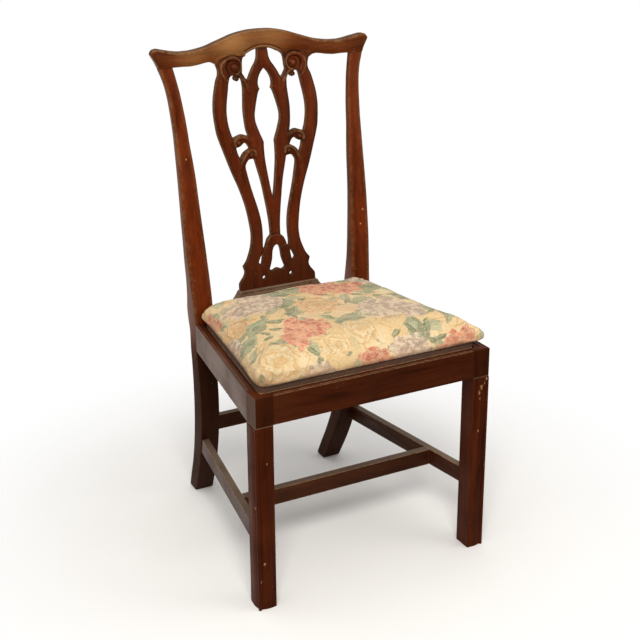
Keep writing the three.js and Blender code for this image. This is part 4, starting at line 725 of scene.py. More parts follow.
def run_points(run, spacing=1.4):
    """A smooth curve through one run of an outline, without its last point."""
    fine = points = np.array([on_splat(place) for place in run])
    if len(points) > 2:
        fine = []
        for k in range(len(points) - 1):
            p0, p1, p2, p3 = (points[min(max(j, 0), len(points) - 1)] for j in (k - 1, k, k + 1, k + 2))
            for t in np.linspace(0, 1, 12, endpoint=False):
                a, b = (p2 - p0) / 2, (p3 - p1) / 2
                fine.append((2 * t ** 3 - 3 * t * t + 1) * p1 + (t ** 3 - 2 * t * t + t) * a
                            + (3 * t * t - 2 * t ** 3) * p2 + (t ** 3 - t * t) * b)
        fine = np.array(fine + [points[-1]])
    along = np.concatenate([[0], np.cumsum(np.hypot(*np.diff(fine, axis=0).T))])
    places = np.linspace(0, along[-1], max(2, int(round(along[-1] / spacing)) + 1))[:-1]
    return list(zip(*(np.interp(places, along, column) for column in fine.T)))


def loop_of(runs):
    return [p for run in runs for p in run_points(run)]


def flipped(points):
    return [(-x, z) for x, z in points][::-1]


def splat_loops():
    """The outline as loops of points, the outer one first."""
    right = loop_of(SIDE) + run_points(SEAM[::-1]) + loop_of(VOID) + [on_splat(VOID[-1][-1])]
    x, z = on_splat(DROP_HOLE)
    sides = [loop_of(runs) for runs in (UPPER, SCROLL, LOWER, HOOP_SIDE)]
    sides.append([(x + DROP_RADIUS * math.cos(t), z + DROP_RADIUS * math.sin(t))
                  for t in np.linspace(0, 2 * math.pi, 20, endpoint=False)])
    middles = []
    for runs in (MIDDLE, HOOP):
        half = loop_of(runs)
        middles.append(half + [on_splat(runs[-1][-1])] + flipped(half[1:]))
    return [np.array(p) for p in [right + flipped(right)] + sides + [flipped(s) for s in sides] + middles]


def within(points, loops):
    """Which points lie inside the outline."""
    inside = np.zeros(len(points), bool)
    for loop in loops:
        for (ax, az), (bx, bz) in zip(loop, np.roll(loop, -1, axis=0)):
            if az != bz:
                spans = (az > points[:, 1]) != (bz > points[:, 1])
                at = np.nonzero(spans)[0]
                inside[at] ^= points[at, 0] < ax + (points[at, 1] - az) * (bx - ax) / (bz - az)
    return inside


def edge_distance(points, loops):
    """How far each point lies inside the outline, in millimetres: negative outside."""
    starts = np.vstack(loops)
    runs = np.vstack([np.roll(loop, -1, axis=0) for loop in loops]) - starts
    tree = KDTree(len(starts))
    for at, (start, run) in enumerate(zip(starts, runs)):
        tree.insert((*(start + run / 2), 0.0), at)
    tree.balance()
    away = np.empty(len(points))
    for k, (x, z) in enumerate(points):
        best = 1e9
        for _, at, _ in tree.find_n((x, z, 0.0), 4):
            (sx, sz), (rx, rz) = starts[at], runs[at]
            t = min(1.0, max(0.0, ((x - sx) * rx + (z - sz) * rz) / (rx * rx + rz * rz)))
            best = min(best, math.hypot(x - sx - t * rx, z - sz - t * rz))
        away[k] = best
    return np.where(within(points, loops), away, -away)


# Carving: how far the front stands out at a place, from the splat's face or the crest rail's

VOLUTE, CURL = (64.0, 925.0), (42.0, 943.5)
ARCH_TOP, ARCH_CURVE = 957.6, 0.0078
HOOP_TOP = 556.5
BREAK = ((8, 550.5), (14, 554.5), (25, 558.5))
# Round the volute, by the angle from its outer side over its top: the ring's reach, and the groove's place and size
RING = ((-90, 36), (0, 33), (30, 28), (45, 26), (60, 23.7), (90, 21.9), (120, 20.2), (150, 18.4), (180, 17.2),
        (270, 17))
GROOVE = ((-60, 21, 1.6, 0.5), (-30, 18.6, 2.8, 2.6), (0, 18.4, 3.7, 4.2), (35, 17.0, 3.4, 4.2), (65, 13.6, 2.4, 3.8),
          (90, 11.6, 1.9, 3.4), (180, 11.0, 1.7, 3.0), (270, 10.1, 1.5, 2.6), (360, 8.5, 1.3, 2.2),
          (450, 7.6, 1.2, 1.8), (540, 7.1, 1.1, 1.4), (630, 6.7, 1.0, 1.0))
# The rolled hooks by their balls: the ball, its radius, and the band's path
HOOKS = ((62, 902, 5.4, ((61.5, 910.6), (55, 908), (49.5, 902), (45, 895), (41, 886), (39.5, 874)), 3.4),
         (69, 776, 6.0, ((76.8, 770), (78, 778), (73.5, 784), (66, 786.4), (57, 786.8), (49, 783), (43, 777)), 3.9),
         (42, 750, 6.0, ((33, 747), (33.5, 754), (39, 758.6), (47, 757), (54.5, 751.5), (60, 744), (63.5, 735),
                         (66, 724)), 3.9))


def groove(away, width):
    return 0.5 + 0.5 * np.cos(np.pi * np.clip(away / width, -1, 1))


def dome(away, reach):
    return np.sqrt(np.clip(1 - (away / reach) ** 2, 0, 1))


def path_distance(x, z, path):
    best = np.full(np.shape(x), 1e9)
    for (ax, az), (bx, bz) in zip(path, path[1:]):
        ux, uz = bx - ax, bz - az
        t = np.clip(((x - ax) * ux + (z - az) * uz) / (ux * ux + uz * uz), 0, 1)
        best = np.minimum(best, np.hypot(x - ax - t * ux, z - az - t * uz))
    return best


def arch_height(x):
    return ARCH_TOP - ARCH_CURVE * x * x


def carving(x, z):
    """How far the carving stands out, where soiling and painted shade lie in it, and where it is rubbed pale, which
    also stands in for a highlight.
    """
    signed = np.asarray(x, float)
    x, z = np.abs(signed), np.asarray(z, float)
    grime_shade, rub_highlight = np.zeros(x.shape), np.zeros(x.shape)
    dx, dz = x - VOLUTE[0], z - VOLUTE[1]
    r = np.hypot(dx, dz)
    turn = np.degrees(np.arctan2(dz, dx))
    turn = np.where(turn < -90, turn + 360, turn)
    reach = np.interp(turn, *np.array(RING).T)
    near = smooth_step(z, 868, 912)
    band = (1 - smooth_step(r, reach - 2.6, reach)) * near
    rise = 3.2 * band
    lined = smooth_step(turn, 25, 45) * (1 - smooth_step(turn, 170, 186)) * (r < 30)
    grime_shade += groove(r - reach - 0.6, 2.2) * lined
    rise -= 0.8 * groove(r - reach - 0.8, 2.4) * lined
    rub_highlight += 1.0 * groove(r - reach + 2.9, 2.3) * band * (r < 40)
    table = np.array(GROOVE)
    for whole in (0, 360):
        at = turn + whole
        place, half, depth = (np.interp(at, table[:, 0], table[:, k]) for k in (1, 2, 3))
        live = smooth_step(at, -72, -40) * (at < 640) * (r < 30)
        cut = groove(r - place, half) * live
        rise -= depth * cut
        grime_shade += smooth_step(cut, 0.25, 0.9)
    rise += 2.0 * dome(r, 6.0)
    rub_highlight += 0.45 * dome(r, 4.2)
    for cx, cz, radius, path, half in HOOKS:
        br = np.hypot(x - cx, z - cz)
        along = path_distance(x, z, path)
        mound = 2.8 * dome(along, half + 0.3)
        knob = 3.2 * dome(br, radius) - 0.9 * groove(br - radius * 0.52, 0.9) * (br < radius)
        rise += np.maximum(mound, knob)
        rim = groove(br - radius - 0.7, 1.3) * (along > half * 0.4)
        side = groove(along - half - 0.7, 1.2)
        grime_shade += np.maximum(rim, side * 0.85) * (br < 26)
        grime_shade += 0.55 * groove(br - radius * 0.52, 0.8) * (br < radius)
        rise -= 0.9 * rim
        tail = smooth_step(np.hypot(x - path[-1][0], z - path[-1][1]), 3, 18)
        rub_highlight += 0.62 * dome(along, half * 0.7) * tail + 0.4 * dome(br, radius * 0.5)
    # The hoop's round head stands in front of the middle strap
    hr = np.hypot(x, z - HOOP_TOP)
    head = (1 - smooth_step(hr, 22.8, 24.2)) * smooth_step(z, 536, 552)
    rise += 2.0 * head + 0.5 * groove(hr - 21.6, 1.8) * smooth_step(z, 545, 556)
    rub_highlight += 0.6 * groove(hr - 22.4, 1.3) * smooth_step(z, 545, 556)
    crossing = groove(hr - 25.0, 1.5) * (z > 550) * (x < 16)
    grime_shade += crossing
    rise -= 0.8 * crossing
    # An old break in the hoop, glued
    crack = path_distance(signed, z, BREAK)
    rise -= 0.8 * groove(crack, 0.9)
    rub_highlight += 2.2 * groove(crack, 0.9)
    grime_shade += 0.7 * groove(crack - 1.3, 0.9)
    # The bead along the arch, with a small curl at each end
    slope = 1 / np.sqrt(1 + (2 * ARCH_CURVE * x) ** 2)
    lift = (z - arch_height(x)) * slope
    live = 1 - smooth_step(x, 39.5, 42)
    rise += 2.9 * dome(lift - 2.7, 3.0) * live
    rub_highlight += 0.75 * dome(lift - 3.1, 2.0) * live
    grime_shade += groove(lift - 6.8, 1.9) * live
    rise -= 0.7 * groove(lift - 6.8, 2.0) * live
    grime_shade += 0.9 * groove(lift + 1.2, 1.8) * (x < 15)
    cr = np.hypot(x - CURL[0], z - CURL[1])
    rise += 2.6 * dome(cr, 4.6)
    grime_shade += groove(cr - 5.2, 1.2) * (z < 950) + 0.6 * groove(cr - 2.4, 0.8)
    rub_highlight += 0.5 * dome(cr, 3.0)
    return rise, np.clip(grime_shade, 0, 1), np.clip(1.35 * rub_highlight, 0, 1.6)


def splat_face(z):
    """How far back the splat's plain face lies at a height."""
    down = (SPLAT_FOOT + SPLAT_HEIGHT - z) / SPLAT_HEIGHT
    return SEAT_DEPTH + (z - SEAT_HEIGHT) * RAKE + 6 + 19 * down * down


def rounded(away, radius):
    t = np.clip(1 - away / radius, 0, 1)
    return radius * (1 - np.sqrt(1 - t * t))


def filled(loops, extra):
    """The outline's points with the extra ones, and the triangles over them, all wound one way."""
    edges, first = [], 0
    for loop in loops:
        at = first + np.arange(len(loop))
        edges += zip(at.tolist(), np.roll(at, -1).tolist())
        first += len(loop)
    places = [Vector(p) for p in np.vstack([*loops, extra])]
    points, _, faces, _, _, _ = delaunay_2d_cdt(places, edges, [], 1, 1e-5, False)
    points = np.array([tuple(p) for p in points])
    faces = np.array([f for f in faces if len(f) == 3])
    faces = faces[within(points[faces].mean(1), loops)]
    u, v = (points[faces[:, k]] - points[faces[:, 0]] for k in (1, 2))
    turned = u[:, 0] * v[:, 1] - u[:, 1] * v[:, 0] <= 0
    faces[turned] = faces[turned][:, [0, 2, 1]]
    return points, faces


# Where the carving takes a finer mesh: places and reaches on the right half
CARVED = ((64, 925, 25), (62, 902, 13), (69, 776, 16), (42, 750, 16), (0, HOOP_TOP, 29), (42, 944, 9))
COARSE, FINE, BACK_PITCH = 2.6, 0.95, 12
ON_RIM = 0.02


def splat_points(loops):
    """Points inside the outline for the front: rows along its edges, and a grid that is finer at the carving."""
    rng = np.random.default_rng(7)

    def grid(step, inset, low, high):
        xs, zs = np.arange(low[0], high[0], step), np.arange(low[1], high[1], step * 0.866)
        mesh = np.array([(x + (k % 2) * step / 2, z) for k, z in enumerate(zs) for x in xs])
        mesh = mesh + rng.uniform(-0.04, 0.04, mesh.shape) * step
        return mesh[edge_distance(mesh, loops) > inset]

    def away_from(points, x, z):
        return np.hypot(np.abs(points[:, 0]) - x, points[:, 1] - z)

    def offset_rows(step):
        rows = []
        for loop in loops:
            run = np.roll(loop, -1, axis=0) - np.roll(loop, 1, axis=0)
            normal = np.column_stack([-run[:, 1], run[:, 0]]) / np.maximum(np.hypot(*run.T), 1e-9)[:, None]
            rows += [loop + normal * step, loop - normal * step]
        rows = np.vstack(rows)
        return rows[edge_distance(rows, loops) > step * 0.93]

    coarse = grid(COARSE, 2.7, loops[0].min(0), loops[0].max(0))
    found = [coarse[np.all([away_from(coarse, x, z) >= reach for x, z, reach in CARVED], axis=0)]]
    for at, (cx, cz, reach) in enumerate(CARVED):
        for side in ((1, -1) if cx else (1,)):
            cell = grid(FINE, 2.4, (side * cx - reach, cz - reach), (side * cx + reach, cz + reach))
            keep = away_from(cell, cx, cz) < reach
            for x, z, other in CARVED[:at]:
                keep &= away_from(cell, x, z) >= other
            found.append(cell[keep])
    return np.vstack(found + [offset_rows(step) for step in (0.35, 0.9, 1.6)])


def build_splat():
    loops = splat_loops()
    points, faces = filled(loops, splat_points(loops))
    away = np.maximum(edge_distance(points, loops), 0)
    away[away < ON_RIM] = 0
    rise, grime_shade, rub_highlight = carving(*points.T)
    # Along the seam the face runs on into the crest rail's, with no rounded edge
    seam = (points[:, 1] > 943) & (np.abs(points[:, 0]) > 38)
    crown = 1.1 * smooth_step(away, 0.0, 9.0) * smooth_step(points[:, 1], 474, 520)
    stand = rise * smooth_step(away, 0.0, 1.2) + crown * (1 - np.clip(np.abs(rise) * 0.5, 0, 1))
    front = splat_face(points[:, 1]) - np.where(seam, rise, stand) + np.where(seam, 0.0, rounded(away, 1.5))
    # Pale rubbed edges and ridges, which also stand in for highlights, and soiling in the carving with painted shade
    # along the edges
    wear_highlight = 0.75 * (1 - smooth_step(away, 0.5, 1.7)) * ~seam + rub_highlight
    grime_shade = np.clip(grime_shade + 0.45 * (1 - smooth_step(away, 1.2, 5.5)) * ~seam, 0, 1)

    low, high = loops[0].min(0), loops[0].max(0)
    inner = np.array([(x, z) for z in np.arange(low[1] + BACK_PITCH / 2, high[1], BACK_PITCH)
                      for x in np.arange(low[0], high[0], BACK_PITCH)])
    back_points, back_faces = filled(loops, inner[edge_distance(inner, loops) > 2])
    back_rim = edge_distance(back_points, loops) < ON_RIM

    base, first = len(points), 0
    all_faces = faces.tolist() + (base + back_faces[:, ::-1]).tolist()
    for loop in loops:
        area = (loop[:, 0] * np.roll(loop[:, 1], -1) - np.roll(loop[:, 0], -1) * loop[:, 1]).sum()
        at = first + np.arange(len(loop))
        onward = np.roll(at, -1)
        quads = np.column_stack([onward, at, base + at, base + onward])
        all_faces += (quads if (area > 0) == (loop is loops[0]) else quads[:, ::-1]).tolist()
        first += len(loop)
    flat, depth = np.vstack([points, back_points]), splat_face(back_points[:, 1]) + SPLAT_THICKNESS
    splat = make_mesh("carved_splat", np.column_stack([flat[:, 0], np.concatenate([front, depth]), flat[:, 1]]),
                      all_faces, SPLAT_WOOD, wear_highlight=np.concatenate([wear_highlight, 0.4 * back_rim]),
                      grime_shade=np.concatenate([grime_shade, np.zeros(len(back_rim))]), angle=38)
    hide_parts("splat")


build_splat()


# Crest rail: its top by shares of its half width and rise, and its underside past the splat

CREST_TOP = ((0, 1), (0.083, 0.99), (0.165, 0.95), (0.248, 0.882), (0.33, 0.777), (0.413, 0.672), (0.496, 0.567),
             (0.578, 0.504), (0.661, 0.47), (0.723, 0.468), (0.785, 0.496), (0.826, 0.529), (0.888, 0.588),
             (0.942, 0.636), (0.975, 0.613), (1, 0.495))
CREST_UNDER = ((106.1, 0), (112.1, 0.05), (119, 0.067), (128.9, 0.05), (139, 0.02), (148.8, 0), (158.6, -0.012),
               (178.6, 0), (223.8, 0), (228.5, 0.151), (232.1, 0.26), (235.5, 0.353), (240, 0.475))
CREST_HALF, CREST_RISE, CREST_DEPTH, CREST_TIP = 240.0, 59.5, 23.0, 12.0
SEAM_START, SEAM_END = 38.5, 103.5
TUCK_START, TUCK_WIDTH, TUCK = 235.5, 4.6, 3.6


def build_crest():
    """Sections across the rail, from the lower front arris up, over the top and down the back."""
    base = POST_TOP + GAP
    under = [(x, 957.3 if x < 11.5 else arch_height(x) + 0.2) for x in (0, 11.4, 11.6, 16, 21, 26, 31, 35)]
    under += [(x, z + GAP) for x, z in map(on_splat, SEAM)]
    under += [(x, base + CREST_RISE * s) for x, s in CREST_UNDER]
    top = [(CREST_HALF * x, base + CREST_RISE * s) for x, s in CREST_TOP]
    half = np.unique(np.concatenate([np.linspace(0, 96, 100), np.linspace(96, 222, 56), np.linspace(222, 240, 20)]))
    xs = np.concatenate([-half[:0:-1], half])[:, None]
    reach = np.abs(xs)
    low, high = monotone(*np.array(under).T, reach), monotone(*np.array(top).T, reach) - 0.3
    rise = high - low
    deep = CREST_DEPTH + np.maximum(0, (reach - HALF_REAR) / (CREST_HALF - HALF_REAR)) * (CREST_TIP - CREST_DEPTH)
    small, ease = np.minimum(1.6, rise / 6), np.minimum(6.0, rise / 3)
    seam = (reach > SEAM_START) & (reach < SEAM_END)
    lower = np.where(seam, 0.3, small)
    sections = []

    def add(back, height, wear_highlight):
        sections.append(np.broadcast_arrays(back, height, wear_highlight, xs)[:3])

    def quarter(first, last, whole):
        return np.pi / 2 * np.arange(first, last)[None] / whole

    # The third value of each section is how pale it is rubbed, which also serves as a painted highlight
    turn = quarter(0, 4, 4)
    add(lower * (1 - np.sin(turn)), low + lower * (1 - np.cos(turn)), np.where(seam, 0, 0.9))
    share = np.linspace(0, 1, 40)[None]
    foot, head = low + lower, high - ease
    z = foot + (head - foot) * share
    crown = 2.2 * (1 - (2 * share - 1) ** 2) * np.minimum(1, rise / 30) * np.where(seam, smooth_step(z, 944, 960), 1)
    stand, carved_grime_shade, rub_highlight = carving(np.broadcast_to(xs, z.shape), z)
    add(-crown - stand * np.where(seam, 1, smooth_step(z, foot - 0.3, foot + 0.8)), z, rub_highlight)
    turn = quarter(1, 8, 7)
    add(ease * (1 - np.cos(turn)) * 0.9, head + ease * np.sin(turn), 0.35 + 0.75 * groove(turn - 0.62, 0.62))
    add(deep * 0.5, high, 0.2)
    turn = quarter(0, 5, 4)
    add(deep - ease * 0.8 * (1 - np.sin(turn)), high - ease * 0.8 * (1 - np.cos(turn)), 0.3)
    add(deep, (low + high) / 2, 0)
    turn = quarter(0, 4, 3)
    add(deep - small * (1 - np.cos(turn)), low + small * (1 - np.sin(turn)), 0.2)
    back, z, wear_highlight = (np.concatenate(columns, axis=1) for columns in zip(*sections))
    # By column: soiling and painted shade in the carved face, painted shade on the edge over it, and on the top with
    # its back edge
    grime_shade = np.zeros_like(z)
    grime_shade[:, 4:44], grime_shade[:, 44:46], grime_shade[:, 49:57] = carved_grime_shade, 0.35, 0.75

    # The ends are tucked in towards the middle of their depth
    t = np.clip((reach - TUCK_START) / TUCK_WIDTH, 0, 1)
    tuck = TUCK * (1 - np.sqrt(1 - t * t))
    face = SEAT_DEPTH + 7 * (1 - (xs / HALF_REAR) ** 2)
    y = face + (z - SEAT_HEIGHT) * RAKE + tuck + back * (deep - 2 * tuck) / deep
    crest = lofted("carved_crest", np.stack(np.broadcast_arrays(xs, y, z), axis=2), wear_highlight.ravel(), CREST_WOOD,
                   flip=True, angle=42, grime_shade=grime_shade.ravel())
    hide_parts("crest_rail")


build_crest()


# Loose seat: webbing, burlap and the padded cover

def seat_side(y):
    share = (y - LEG_DEPTH) / (SEAT_DEPTH - LEG_DEPTH)
    return HALF_FRONT + share * (HALF_REAR - HALF_FRONT) - LIP - PLAY


def over_rails(z, low, high):
    """A step between two heights, counted from the top of the seat rails."""
    return smooth_step(z, SEAT_HEIGHT + low, SEAT_HEIGHT + high)


def node_mm(name):
    """The low and high corner of a CAD node's box, in the script's millimetres."""
    return [np.array(corner) / MM - (0, SHIFT, 0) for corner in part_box(name)]


def slab(name, grid, thick, material, flip=False):
    """A thin closed piece over a grid of points, which are its lower face."""
    grid = np.asarray(grid)
    rows, cols, _ = grid.shape
    at, upper = np.arange(rows * cols).reshape(rows, cols), rows * cols
    under = np.stack([at[:-1, :-1], at[1:, :-1], at[1:, 1:], at[:-1, 1:]], axis=-1).reshape(-1, 4)
    rim = np.concatenate([at[0, :-1], at[:-1, -1], at[-1, :0:-1], at[:0:-1, 0]])
    onward = np.roll(rim, -1)
    faces = np.vstack([under, under[:, ::-1] + upper, np.column_stack([rim, onward, onward + upper, rim + upper])])
    points = grid.reshape(-1, 3)
    return make_mesh(name, np.vstack([points, points + (0, 0, thick)]), faces[:, ::-1] if flip else faces, material,
                     body="slip_seat", angle=50)


def build_webbing():
    """Straps woven over and under each other, their ends on the seat frame's bars."""
    lengthwise, crosswise = ([node_mm(f"{word}_webbing_{k}") for k in (1, 2, 3)]
                             for word in ("lengthwise", "crosswise"))
    low_z, high_z, thick = lengthwise[0][0][2], crosswise[0][1][2], 1.2
    middle, swing = (low_z + high_z) / 2, (high_z - low_z) / 4 + 0.1
    for axis, straps, others, word, bars in (
            (1, lengthwise, crosswise, "lengthwise", ["seat_frame_front", "seat_frame_rear"]),
            (0, crosswise, lengthwise, "crosswise", ["left_seat_frame_side", "right_seat_frame_side"])):
        other = 1 - axis
        end_height = low_z + thick / 2 + 0.1 if axis == 1 else high_z - thick / 2 - 0.1
        for at, (low, high) in enumerate(straps):
            start, end, wide = low[axis], high[axis], high[other] - low[other]
            knots = [(start, end_height)]
            for k, (near, far) in enumerate(others):
                crossing = (near[axis] + far[axis]) / 2
                height = middle + (swing if (at + k + axis) % 2 else -swing)
                knots += [(crossing - 20, height), (crossing + 20, height)]
            knots.append((end, end_height))
            path = np.linspace(start, end, 64)
            heights = monotone(*np.array(knots).T, path) - thick / 2
            across = low[other] + wide * np.linspace(0, 1, 5)
            grid = [[(a, s, z) if axis == 1 else (s, a, z) for a in across] for s, z in zip(path, heights)]
            stripes = [(low[other] + wide * s + SHIFT * other) * MM for s in (0.12, 0.88)]
            material = woven(f"jute_{word}_{at + 1}", *JUTE, 0.0016, 0.0004,
                             stripe=(other, stripes, 0.0016, (0.30, 0.05, 0.03)))
            strap = slab(f"strap_{word}_{at + 1}", grid, thick, material, flip=axis == 0)
            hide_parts(f"{word}_webbing_{at + 1}")
            wide * MM
            (end - start) * MM
            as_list(bars)


def build_burlap():
    low, high = node_mm("burlap")
    inset, thick = 5, 0.5
    ripple = np.random.default_rng(3).uniform(0, 6.28, 4)
    share = np.linspace(0, 1, 29)
    grid = []
    for y in low[1] + (high[1] - low[1]) * share:
        xs = (seat_side(y) - inset) * (2 * share - 1)
        wave = 0.12 * np.sin(xs / 17 + ripple[0]) * math.sin(y / 21 + ripple[1])
        grid.append(np.column_stack([xs, np.full_like(xs, y), low[2] + 0.15 + wave]))
    cloth = slab("burlap_cloth", grid, thick, BURLAP)
    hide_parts("burlap")
    wide = 2 * (seat_side(low[1]) - inset) * MM
    mean = (seat_side(low[1]) + seat_side(high[1]) - 2 * inset) * MM
    deep = (high[1] - low[1]) * MM
    mean * deep


build_webbing()
build_burlap()

CROWN, BULGE, REAR_BULGE, WAIST, CORNER = 61.0, 15.0, 2.0, 0.62, 10.0
SEAT_FRONT, SEAT_REAR = LIP + PLAY, SEAT_DEPTH - PLAY
HEM, HEM_WIDTH, HEM_TOP = 418.3, 24.0, 424.0
# Up the cushion's side, in shares of its bulge and crown: the cloth turns under its edge, in above the lip
COVER_ROWS = ((0.06, 0), (0.05, 0.095), (0.07, 0.135), (0.45, 0.160), (0.80, 0.195), (1, 0.30), (0.9, 0.43),
              (0.45, 0.56), (-0.4, 0.672))
# On over its top, in shares of what is left of its width and height
CROWN_ROWS = ((0.945, 0.25), (0.87, 0.5), (0.71, 0.785), (0.50, 0.915), (0.26, 0.98))
# How far the folded cloth stands out at each corner: side, place, lift and spread
CORNER_LIFTS = ((1, SEAT_FRONT, 5.5, 20), (-1, SEAT_FRONT, -8.0, 36), (1, SEAT_REAR, 0.5, 16),
                (-1, SEAT_REAR, 1.0, 16))
VOXEL, SWELL, SWELL_FRAMES = 0.0046, 0.0055, 20


def seat_ring(out, draw, bulge, rounder):
    """One ring round the cushion; rounder is how much more than CORNER each corner is rounded, from the front right."""
    front = SEAT_FRONT - out
    rear = SEAT_REAR + out - max(0.0, bulge - REAR_BULGE)
    waist = WAIST * max(0.0, bulge - BULGE * 0.09)
    corners = [np.array((side * (seat_side(y) + out), y))
               for y, side in ((front, 1), (rear, 1), (rear, -1), (front, -1))]
    arcs = []
    for at, corner in enumerate(corners):
        back, onward = (way / np.hypot(*way) for way in (corners[at - 1] - corner, corners[(at + 1) % 4] - corner))
        half = math.acos(float(back @ onward)) / 2
        radius = CORNER + rounder[at]
        centre = corner + (back + onward) / np.hypot(*(back + onward)) * radius / math.sin(half)
        x, y = corner + back * radius / math.tan(half) - centre
        turn = (math.pi - 2 * half) * np.linspace(0, 1, 11)
        c, s = np.cos(turn), np.sin(turn)
        arcs.append(centre + np.column_stack([x * c - y * s, x * s + y * c]))
    middle = np.array((0.0, (SEAT_FRONT + SEAT_REAR) / 2))
    share = np.linspace(0, 1, 27)[1:-1, None]
    ring = []
    for at, arc in enumerate(arcs):
        run = arcs[(at + 1) % 4][0] - arc[-1]
        inward = np.array((-run[1], run[0])) / np.hypot(*run) * waist * (0.6, 0, 1, 1)[at]
        ring += [arc, arc[-1] + run * share + inward * (1 - (2 * share - 1) ** 4)]
    return middle + (np.vstack(ring) - middle) * draw


def pad_rows():
    """Rows up the cushion: height, reach, drawn-in share and bulge, a little smaller than the CAD's."""
    rows = [(HEM, BULGE * COVER_ROWS[0][0], 1.0)] + [(SEAT_HEIGHT + CROWN * r, BULGE * o, 1.0) for o, r in COVER_ROWS]
    shoulder, out, _ = rows[-1]
    rows += [(shoulder + (SEAT_HEIGHT + CROWN - shoulder) * r, out, d) for d, r in CROWN_ROWS]
    at = np.arange(len(rows))
    height, bulge, draw = (monotone(at, column, np.linspace(0, at[-1], 60)) for column in np.array(rows).T)
    reach = bulge - 0.5 * over_rails(height, 4, 22)
    return zip(height - over_rails(height, 14, 50), reach, draw, bulge)


def build_pad():
    rings = []
    for z, out, draw, bulge in pad_rows():
        above = float(over_rails(z, 6.5, 12))
        ring = seat_ring(out, draw, bulge, (0, 3 * above, 3 * above, 14 * above))
        # The stuffing has settled a little to the right and back, and is fuller there
        forward = np.clip((SEAT_REAR - ring[:, 1]) / (SEAT_REAR - SEAT_FRONT), 0, 1)
        ring = ring + 2.5 * above * np.column_stack([0.4 + 0.6 * forward, forward])
        level = above * (1 - float(over_rails(z, 20, 46)))
        for side, y, lift, spread in CORNER_LIFTS:
            outward = np.array((side, -1.0 if y == SEAT_FRONT else 1.0)) / math.sqrt(2)
            near = np.exp(-(np.hypot(*(ring - (side * seat_side(y), y)).T) / spread) ** 2)
            ring = ring + outward * (near * lift * level)[:, None]
        x, y = ring.T
        fuller = 2.5 * smooth_step(x, 60, 200) + 1.2 * smooth_step(y, 280, 370) * (1 - smooth_step(x, 60, 150))
        rings.append(np.column_stack([ring, z + above * fuller]))
    pad = lofted("seat_pad", rings, None, FLORAL, angle=0)
    modify(pad, "REMESH", mode="VOXEL", voxel_size=VOXEL)
    shaped = bpy.data.meshes.new_from_object(pad.evaluated_get(bpy.context.evaluated_depsgraph_get()))
    pad.modifiers.clear()
    pad.data = shaped
    inflate(pad)
    finish_pad(pad)
    return pad


def read(items, word):
    """A property of three numbers, for all the items of a mesh."""
    values = np.empty(len(items) * 3)
    items.foreach_get(word, values)
    return values.reshape(-1, 3)


def inflate(pad):
    """Swells the pad under pressure, with its lower edge held, and applies the result."""
    start = read(pad.data.vertices, "co")
    held = pad.vertex_groups.new(name="held")
    for at, weight in enumerate(1 - over_rails(start[:, 2] / MM, 10, 20)):
        if weight > 0:
            held.add([at], float(weight), "REPLACE")
    cloth = modify(pad, "CLOTH")
    cloth.settings.use_pressure = True
    cloth.settings.uniform_pressure_force = 4.0
    cloth.settings.vertex_group_mass = "held"
    cloth.settings.effector_weights.gravity = 0.0
    cloth.point_cache.frame_start, cloth.point_cache.frame_end = 1, SWELL_FRAMES
    for frame_number in range(1, SWELL_FRAMES + 1):
        SCENE.frame_set(frame_number)
    swollen = pad.evaluated_get(bpy.context.evaluated_depsgraph_get())
    move = read(swollen.to_mesh().vertices, "co") - start
    swollen.to_mesh_clear()
    move = move * np.minimum(1, SWELL / np.maximum(np.linalg.norm(move, axis=1), 1e-9))[:, None]
    pad.modifiers.remove(cloth)
    pad.vertex_groups.clear()
    pad.data.vertices.foreach_set("co", (start + move).ravel())
    SCENE.frame_set(1)


def seat_inside(x, y):
    """How far in from the seat's sides a place lies."""
    return np.minimum(np.minimum(seat_side(y) - np.abs(x), y - SEAT_FRONT), SEAT_REAR - y)


